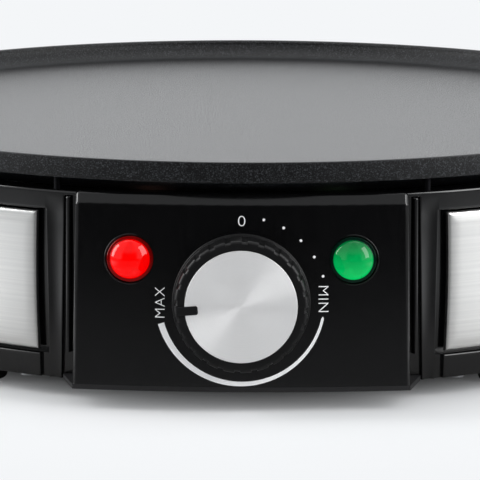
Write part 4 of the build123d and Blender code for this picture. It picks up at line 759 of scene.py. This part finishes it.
def lettering(text, size, at, turn, widen):
    """Words in a plain sans face, laid on the bowed fascia: each point of the flat letters goes to the
    fascia's own surface at the same x and z. turn is clockwise, in radians."""
    curve = bpy.data.curves.new("word_" + text, "FONT")
    curve.body, curve.size = text, size
    curve.align_x, curve.align_y = "CENTER", "CENTER"
    curve.resolution_u = 6
    curve.space_character = 1.06
    curve.offset = -mm(0.07)                  # thinner strokes
    holder = bpy.data.objects.new("word_" + text, curve)
    bpy.context.scene.collection.objects.link(holder)
    bpy.context.view_layer.update()
    flat = bpy.data.meshes.new_from_object(holder)
    bpy.data.objects.remove(holder)
    co = np.empty(len(flat.vertices) * 3, np.float32)
    flat.vertices.foreach_get("co", co)
    co = co.reshape(-1, 3)
    middle = (co.min(0) + co.max(0)) / 2
    u, v = (co[:, 0] - middle[0]) * widen, co[:, 1] - middle[1]
    x = at[0] + u * math.cos(turn) + v * math.sin(turn)
    z = at[1] - u * math.sin(turn) + v * math.cos(turn)
    on, _ = fascia(x, z, INK_LIFT)
    flat.vertices.foreach_set("co", on.astype(np.float32).ravel())
    flat.update()
    return flat


class CREPE_OT_dial_print(bpy.types.Operator):
    """White dial marks on the fascia: 0, a ring of dots, MIN, MAX and the arc that thickens towards MAX"""
    bl_idname = "crepe.dial_print"
    bl_label = "Dial print"

    def execute(self, context):
        p = props("dial")
        ink = screen_ink()
        sheets = Sheets()
        for k in range(DOTS):
            cx, cz = dial(p.dots, math.radians(DOT_FIRST + DOT_STEP * k))
            ring, turn = np.meshgrid(np.linspace(0, DOT_R, 4), np.linspace(0, FULL_TURN, 25), indexing="ij")
            sheets.grid(fascia(cx + ring * np.cos(turn), cz + ring * np.sin(turn), INK_LIFT)[0], flip=True)
        sweep = np.radians(np.linspace(ARC_FIRST, ARC_LAST, 180))
        share = (sweep - sweep[0]) / (sweep[-1] - sweep[0])
        blunt = np.minimum(1, np.sqrt(np.clip(share * 90, 0.02, 1)))   # its thin end is round
        half = (ARC_THIN + (ARC_THICK - ARC_THIN) * share) * blunt
        r = p.radius + ARC_DRIFT * share[:, None] + np.linspace(-1, 1, 5)[None, :] * half[:, None]
        sheets.grid(fascia(*dial(r, sweep[:, None]), INK_LIFT)[0])
        piece("dial_marks", sheets.mesh("dial_marks", 60, 1e-8), ink, "base")
        for text, size, radius, clockwise, turn, widen in WORDS:
            at = dial(mm(radius), math.radians(clockwise))
            piece("print_" + text, lettering(text, mm(size), at, math.radians(turn), widen), ink, "base")
        return {"FINISHED"}


# ---- Lamps ----

RECESS, BARREL_R, BARREL_END, CAVITY_R = mm(1.2, 5.3, 7.8, 4.1)   # the lens behind its flange
PROUD = mm(0.3)                               # the dome's foot in front of the fascia
MOAT = mm(0.25)                               # width and depth of the groove round the dome
EDGE_OUT, EDGE_R = mm(0.16, 0.24)             # fine round lip of the lamp hole: its place and its radius


class CREPE_OT_lamps(bpy.types.Operator):
    """Red and green lamp lenses, each a flange in the fascia's recess, a shallow groove and a dome, and the
    fine lips of their holes"""
    bl_idname = "crepe.lamps"
    bl_label = "Indicator lamps"

    def execute(self, context):
        p = props("lamp")
        ball = (p.dome ** 2 + p.rise ** 2) / (2 * p.rise)
        swing = np.linspace(math.asin(p.dome / ball), 0, 30)
        dome = np.stack([ball * np.sin(swing), PROUD + p.rise - ball + ball * np.cos(swing)], -1)
        end = -RECESS - BARREL_END
        back = rounded([(CAVITY_R, end), (BARREL_R, end), (BARREL_R, -RECESS), (p.flange, -RECESS),
                        (p.flange, -MOAT), (p.dome + MOAT, -MOAT), (p.dome, PROUD)], mm(0, 0, 0, 0.3, 0.15))
        profile = np.vstack([back[:-1], dome])
        # How lit each point is, which sets the glow and, as painted shade, the base colour: unlit behind,
        # nearly full at the dome's foot, and brighter low down
        depth = np.concatenate([np.zeros(len(back) - 1), np.minimum(1, np.linspace(0.85, 3.0, len(dome)))])
        angle = np.linspace(0, FULL_TURN, 128, endpoint=False)[:, None]
        low = 0.5 - 0.5 * np.sin(angle) * np.clip(profile[:, 0] / p.dome, 0, 1)[None, :]
        swell = np.radians(np.linspace(200, -20, 12))
        lip_line = np.stack([p.hole + EDGE_OUT - EDGE_R * np.cos(swell), EDGE_R * np.sin(swell)], -1)
        # the third value of a row is the painted shade colour of the lens's less lit parts; dimmest is how
        # lit its top stays
        for colour, code, painted_shade_code, glow, dimmest, seed in (("red", p.red, "d00000", 0.80, 0.85, 0.0),
                                                        ("green", p.green, "043a2a", 1.0, 0.25, 0.7)):
            lens, rim = "lens_" + colour, "lamp_hole_edge_" + colour
            first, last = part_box(lens)
            centre = (first + last) / 2
            at, normal = fascia(centre.x, centre.z)
            body = turned(profile, 128, at, Vector(normal), depth[None, :] * (dimmest + (1 - dimmest) * low))
            look = lens_plastic("lit_" + lens, code, painted_shade_code, glow, seed)
            piece(lens + "_lit", body, look, "base", [lens], 40)
            edge = turned(lip_line, 128, at, Vector(normal))
            piece(rim, edge, bpy.data.materials["gloss_moulded_plastic"], "base", sharp=60)
        return {"FINISHED"}


# ---- Knob ----

KNOB_BACK, SKIRT_T, GRIP_H, DISC_T = mm(0.6, 1.7, 10.0, 0.8)
SKIRT_FRONT = KNOB_BACK + SKIRT_T
KNOB_FRONT = SKIRT_FRONT + GRIP_H
GRIP_DRAW, GRIP_WALL = mm(0.2, 2.8)           # the grip is narrower at its front; its wall
DISC_PLAY = mm(0.12)                          # between the disc and its seat
NOTCH_DEPTH = mm(0.5)
NOTCH_START = mm(0.45)                        # the notches start in front of the skirt
POINTER_TURN = math.radians(90.0 - 265.6)     # the pointer at MAX, 265.6 degrees clockwise from the top


def knob_place(x, y, z):
    """Knob's own x, y and z, z out of the fascia, to the row frame."""
    axes = np.array([(1.0, 0, 0), KNOB_OUT.cross(Vector((1, 0, 0))), KNOB_OUT])
    return (np.array(KNOB_AT) + np.asarray(x)[..., None] * axes[0] + np.asarray(y)[..., None] * axes[1]
            + np.asarray(z)[..., None] * axes[2])


def knob_shell():
    """Grip and skirt as one turned skin whose radius dips in each notch: r = profile - depth box(angle), with
    the box rounded at its corners. The dips start in front of the skirt and run out through the grip's front
    edge."""
    p = props("knob")
    top, seat = p.grip - GRIP_DRAW, p.disc + DISC_PLAY
    bore, floor = top - GRIP_WALL, KNOB_FRONT - DISC_T
    line = rounded([(bore, KNOB_FRONT - mm(2.0)), (bore, KNOB_BACK), (p.skirt, KNOB_BACK),
                    (p.skirt, SKIRT_FRONT), (p.grip, SKIRT_FRONT), (top, KNOB_FRONT), (seat, KNOB_FRONT),
                    (seat, floor), (0, floor)], mm(0.2, 0.5, 0.5, 0.3, 1.4, 0.15, 0), 7)
    foot = np.flatnonzero((line[:, 1] > SKIRT_FRONT + mm(0.25)) & (line[:, 0] > top - mm(0.95)))[0]
    straight = line[foot] + (line[foot + 1] - line[foot]) * np.linspace(0, 1, 9)[1:-1, None]
    line = np.vstack([line[:foot + 1], straight, line[foot + 1:]])
    r, z = line[:, 0], line[:, 1]
    low, ease = SKIRT_FRONT + NOTCH_START, mm(0.2)
    weight = np.where((r > top - mm(1.1)) & (z > low - ease), np.clip((z - low + ease) / ease, 0, 1), 0.0)
    # Places round the grip in shares of the notches' spacing: four for each side wall of a notch
    wall = p.notch / 2 / p.grip / (FULL_TURN / p.notches) * np.array([0.82, 0.94, 1.04, 1.16])
    edge = np.concatenate([[-0.5, -0.35, -0.2], -wall[::-1], wall, [0.2, 0.35, 0.45]])
    dip = np.array([0, 0, 0, 0, 0.08, 0.92, 1, 1, 0.92, 0.08, 0, 0, 0, 0])
    angle = ((np.arange(p.notches)[:, None] + 0.5 + edge) * FULL_TURN / p.notches).ravel() + POINTER_TURN
    reach = r[None, :] - (NOTCH_DEPTH * np.tile(dip, p.notches))[:, None] * weight[None, :]
    return Sheets().grid(knob_place(reach * np.cos(angle)[:, None], reach * np.sin(angle)[:, None],
                                    np.broadcast_to(z, reach.shape)), wrap=True)


class CREPE_OT_knob(bpy.types.Operator):
    """Notched knob with its skirt, spun disc and pointer"""
    bl_idname = "crepe.knob"
    bl_label = "Knob"

    def execute(self, context):
        p = props("knob")
        satin = textured_plastic("satin_moulded_plastic", p.plastic, 0.45, 0.38, 0.28)
        piece("knob_grip", knob_shell(), satin, "knob", ["knob_body"], 38)
        self.pointer(p, satin)
        self.disc(p)
        dress(plain_metal("machined_brass", "b08d4a", 0.3, 0.7), "thermostat_shaft")
        dress(plain_metal("spring_strip", "8d8d90", 0.35, 0.9), "knob_spring")
        return {"FINISHED"}

    def pointer(self, p, look):
        """Raised bar from the disc out over the grip's front: its outline, with rounded inner corners, is
        carried up, and its top is rounded. Each row has a step inward and a height over the knob's front."""
        low, high, wide = p.disc - mm(4.3), p.grip - mm(0.9), mm(1.45)
        line = rounded([(high, -wide), (low, -wide), (low, wide), (high, wide)], mm(0.7, 0.7))
        middle = line.mean(0)
        inward = (middle - line) / np.linalg.norm(middle - line, axis=1, keepdims=True)
        plan = np.stack([line + inward * step for step in mm(0.0, 0.0, 0.06, 0.18)]
                        + [np.broadcast_to(middle, line.shape)])
        x = plan[..., 0] * math.cos(POINTER_TURN) - plan[..., 1] * math.sin(POINTER_TURN)
        y = plan[..., 0] * math.sin(POINTER_TURN) + plan[..., 1] * math.cos(POINTER_TURN)
        z = KNOB_FRONT + np.broadcast_to(np.array(mm(-0.6, 0.38, 0.46, 0.5, 0.5))[:, None], x.shape)
        bar = Sheets().grid(np.transpose(knob_place(x, y, z), (1, 0, 2)), wrap=True)
        piece("knob_pointer", bar, look, "knob", sharp=50)

    def disc(self, p):
        """Flat spun face with a bevelled edge, turned about the knob's axis."""
        back, front, bevel = mm(-0.75, 0.2, 0.16)
        line = rounded([(p.disc, back), (p.disc, front - bevel), (p.disc - bevel, front), (0, front)],
                       mm(0.03, 0.05), 3)
        rows = np.linspace(1, 0, 40)[1:, None] * line[-2]
        rows[:, 1] = front
        profile = np.vstack([line[:-1], rows])
        profile[:, 1] += KNOB_FRONT
        piece("knob_disc_spun", turned(profile, 360, KNOB_AT, KNOB_OUT), spun_aluminium(), "knob",
              ["knob_disc"], 30)


# ---- Inner parts ----

METALS = (                                    # name, colour, roughness, grain in mm, and the nodes
    ("zinc_plated_steel", "a9abae", 0.34, 1.2,
     ("plate_screws", "base_screws", "box_screws", "foot_screws", "thermostat_screws", "clamp_screws",
      "element_clamps", "bulb_clip", "fuse_clip", "lens_clips", "thermostat_body", "element_terminals")),
    ("aluminised_steel_sheet", "b9bbbd", 0.42, 2.5, ("heat_reflector",)),
    ("incoloy_element_sheath", "4d4a48", 0.5, 1.5, ("heating_element",)),
    ("nickel_plated_brass", "bfae7a", 0.32, 0.8, ("terminal_screws",)),
    ("drawn_copper", "b9683f", 0.3, 0.8, ("capillary_tube", "sensor_bulb")),
    ("fuse_case", "c9cacb", 0.3, 0.9, ("thermal_fuse",)))
INSULATION = (                                # the same for what insulates
    ("steatite_ceramic", "e8e4da", 0.5, 0.5, ("terminal_block",)),
    ("brown_lead_insulation", "5a3118", 0.4, 0.6, ("lead_live", "lead_switched")),
    ("blue_lead_insulation", "1f4fa0", 0.4, 0.6, ("lead_neutral", "lead_fuse")),
    ("white_lead_sleeve", "dcdad2", 0.4, 0.6, ("lamp_leads",)))


class CREPE_OT_inner_parts(bpy.types.Operator):
    """Finishes of the parts inside the housing"""
    bl_idname = "crepe.inner_parts"
    bl_label = "Inner parts"

    def execute(self, context):
        for name, code, rough, grain, nodes in METALS:
            dress(plain_metal(name, code, rough, grain), *nodes)
        for name, code, rough, grain, nodes in INSULATION:
            dress(textured_plastic(name, code, grain, rough), *nodes)
        dress(earth_insulation(), "lead_earth")
        dress(glass("neon_envelope_red", "ff6a30", 0.6), "neon_red")
        dress(glass("neon_envelope_green", "60ff90", 0.4), "neon_green")
        return {"FINISHED"}


# ---- Stage ----

CAMERA_AT = Vector((0.0109, AXIS_Y - 1.300, CREST_Z + 0.1828))
CAMERA_PITCH, CAMERA_YAW, CAMERA_ROLL = 0.1807, -0.0100, 0.0030
SENSOR = 36.0                                 # mm
FOCAL = 7.414375 * SENSOR                     # mm
PAPER = (0.905, 0.921, 0.939, 1.0)            # the background's cool white
MATT_PAPER = (0.83, 0.845, 0.86, 1.0)         # the same paper as a matt surface
FILL = 0.50                                   # even light from all round on matt surfaces
FLOOR_HALF, FLOOR_LINES = 3.5, 15             # half the floor's width, and its grid
LIGHTS = (                                    # name, place, what it faces, width, height and radiance
    ("window_right", (0.98, -0.55, 0.60), (0, -0.15, 0.05), 0.50, 0.95, 6.5),
    ("window_left", (-1.10, -0.16, 0.55), (0, -0.15, 0.05), 0.36, 0.95, 9.0),
    ("overhead", (0.0, 0.15, 1.50), (0, 0, 0), 1.2, 0.8, 1.2))


def softbox(name, at, towards, width, height, glow):
    """A rectangular diffuser of the given radiance: watts = radiance x pi x area."""
    light = bpy.data.lights.new(name, "AREA")
    light.shape, light.size, light.size_y = "RECTANGLE", width, height
    light.energy = glow * math.pi * width * height
    holder = bpy.data.objects.new(name, light)
    bpy.context.scene.collection.objects.link(holder)
    holder.location = at
    holder.rotation_euler = (Vector(at) - Vector(towards)).to_track_quat("Z", "Y").to_euler()


def dark_room(tree, x, y, start, end):
    """1 within a sector in front of the object, 0 at its sides and behind: |x| against the distance ahead,
    eased out from start to end."""
    ahead = add(tree, "Math", add(tree, "Math", y, -1.0, operation="MULTIPLY"), 0.001, operation="MAXIMUM")
    slope = add(tree, "Math", add(tree, "Math", x, operation="ABSOLUTE"), ahead, operation="DIVIDE")
    return add(tree, "MapRange", slope, start, end, 1.0, 0.0, interpolation_type="SMOOTHSTEP")


def by_ray(tree, plain, seen, mirrored):
    """One look for matt surfaces, one for the camera, and one for mirrors and glass."""
    path = add(tree, "LightPath").outputs
    sharp = add(tree, "Math", path["Is Glossy Ray"], path["Is Transmission Ray"], operation="MAXIMUM")
    return add(tree, "MixShader", sharp, add(tree, "MixShader", path["Is Camera Ray"], plain, seen), mirrored)


def floor_paper():
    """Seamless white paper: matt, and its own white far from the object, with real shadow near it. Mirror and
    glass see it close to the object as a grey darker than the paper, a painted shade, then white at the sides
    and behind, and fading into an unlit room in front. Distances are in metres from the middle of the floor."""
    made, tree, shader = material("floor_paper")
    tree.nodes.remove(shader)
    ease = {"interpolation_type": "SMOOTHSTEP"}
    here = add(tree, "TexCoord").outputs["Object"]
    where = add(tree, "SeparateXYZ", Vector=here).outputs
    far = add(tree, "VectorMath", here, operation="LENGTH")
    matt = add(tree, "BsdfDiffuse", Color=MATT_PAPER)
    white = add(tree, "Emission", Color=PAPER, Strength=1.0)
    seen = add(tree, "MixShader", add(tree, "MapRange", far, 0.105, 0.26, 0.0, 1.0, **ease), matt, white)
    ahead = add(tree, "MapRange", where["Y"], -0.85, -0.20, 0.02, 0.26, **ease)
    beside = add(tree, "MapRange", far, 0.25, 0.40, 1.45, 0.40, **ease)
    level = add(tree, "Mix", dark_room(tree, where["X"], where["Y"], 0.45, 1.15), beside, ahead)
    # painted shade: mirror and glass see the paper near the object as a grey of 0.42 in place of its own
    # colour
    painted_shade_paper = add(tree, "BsdfDiffuse", Color=grey(0.42))
    glow = add(tree, "Emission", Color=PAPER, Strength=level)
    mirrored = add(tree, "MixShader", add(tree, "MapRange", far, 0.175, 0.24, 0.0, 1.0, **ease), painted_shade_paper, glow)
    feed(tree.nodes["Material Output"], Surface=by_ray(tree, matt, seen, mirrored))
    return made


def studio_world():
    """White surround for what is seen directly; for mirrors an unlit room low in front, bright paper behind
    and dimmer paper at the sides; and an even fill for the rest."""
    world = bpy.data.worlds.new("studio")
    bpy.context.scene.world = world
    world.use_nodes = True
    tree = world.node_tree
    ease = {"interpolation_type": "SMOOTHSTEP"}
    plain = feed(tree.nodes["Background"], Color=grey(1.0), Strength=FILL)
    way = add(tree, "SeparateXYZ", Vector=add(tree, "TexCoord").outputs["Generated"]).outputs
    room = dark_room(tree, way["X"], way["Y"], 0.45, 0.95)
    low = add(tree, "MapRange", way["Z"], 0.30, 0.68, 1.0, 0.0, **ease)
    back = add(tree, "MapRange", way["Y"], -0.2, 0.3, 0.0, 1.0, **ease)
    lit = add(tree, "Mix", back, add(tree, "Mix", room, 0.95, 0.62), 1.45)
    level = add(tree, "Mix", add(tree, "Math", room, low, operation="MULTIPLY"), lit, 0.04)
    white = add(tree, "Background", Color=PAPER, Strength=1.0)
    mirrored = add(tree, "Background", Color=PAPER, Strength=level)
    feed(tree.nodes["World Output"], Surface=by_ray(tree, plain, white, mirrored))


class CREPE_OT_stage(bpy.types.Operator):
    """White paper floor, soft window light from both sides and above, and the camera"""
    bl_idname = "crepe.stage"
    bl_label = "Stage"

    def execute(self, context):
        scene = context.scene
        scene.view_settings.view_transform = "Standard"
        self.camera(scene)
        reach = np.linspace(-FLOOR_HALF, FLOOR_HALF, FLOOR_LINES)
        x, y = np.meshgrid(reach, reach, indexing="ij")
        sheet = Sheets().grid(np.stack([x, y, np.zeros(x.shape)], -1), flip=True)
        floor = bpy.data.objects.new("floor", sheet.mesh("floor"))
        scene.collection.objects.link(floor)
        floor.data.materials.append(floor_paper())
        studio_world()
        for light in LIGHTS:
            softbox(*light)
        return {"FINISHED"}

    def camera(self, scene):
        """It looks along (sin yaw cos pitch, cos yaw cos pitch, -sin pitch), and is rolled about that."""
        camera = bpy.data.objects.new("camera", bpy.data.cameras.new("camera"))
        scene.collection.objects.link(camera)
        cp, cy = math.cos(CAMERA_PITCH), math.cos(CAMERA_YAW)
        view = Vector((math.sin(CAMERA_YAW) * cp, cy * cp, -math.sin(CAMERA_PITCH)))
        side = view.cross(Vector((0, 0, 1))).normalized()
        up = side.cross(view)
        level, tilt = math.cos(CAMERA_ROLL), math.sin(CAMERA_ROLL)
        axes = Matrix((side * level + up * tilt, up * level - side * tilt, -view)).transposed().to_4x4()
        axes.translation = CAMERA_AT
        camera.matrix_world = axes
        camera.data.sensor_width, camera.data.lens = SENSOR, FOCAL
        camera.data.clip_start, camera.data.clip_end = 0.05, 20.0
        scene.camera = camera


# ---- Panel and registration ----

GROUPS = {"griddle": GriddleProps, "housing": HousingProps, "panel": PanelProps, "knob": KnobProps,
          "lamp": LampProps, "dial": DialProps}
OPERATORS = (CREPE_OT_griddle, CREPE_OT_housing, CREPE_OT_panels, CREPE_OT_dial_print, CREPE_OT_lamps,
             CREPE_OT_knob, CREPE_OT_inner_parts, CREPE_OT_stage)


class CREPE_PT_tools(bpy.types.Panel):
    """The crepe maker's pieces and their sizes"""
    bl_label = "Crepe maker"
    bl_idname = "CREPE_PT_tools"
    bl_space_type = "VIEW_3D"
    bl_region_type = "UI"
    bl_category = "Crepe maker"

    def draw(self, context):
        for step in OPERATORS:
            self.layout.operator(step.bl_idname)
        for group in GROUPS:
            box = self.layout.box()
            values = props(group)
            for key in values.bl_rna.properties.keys():
                if key not in ("rna_type", "name"):
                    box.prop(values, key)


def register():
    for name, group in GROUPS.items():
        bpy.utils.register_class(group)
        setattr(bpy.types.Scene, "crepe_" + name, bpy.props.PointerProperty(type=group))
    for each in (*OPERATORS, CREPE_PT_tools):
        bpy.utils.register_class(each)


def unregister():
    for each in reversed((*OPERATORS, CREPE_PT_tools)):
        bpy.utils.unregister_class(each)
    for name, group in GROUPS.items():
        delattr(bpy.types.Scene, "crepe_" + name)
        bpy.utils.unregister_class(group)


def main():
    register()
    for step in ("griddle", "housing", "panels", "dial_print", "lamps", "knob", "inner_parts", "stage"):
        if "FINISHED" not in getattr(bpy.ops.crepe, step)():
            raise RuntimeError("the step " + step + " didn't finish")
    bpy.context.view_layer.update()


if __name__ == "__main__":
    main()
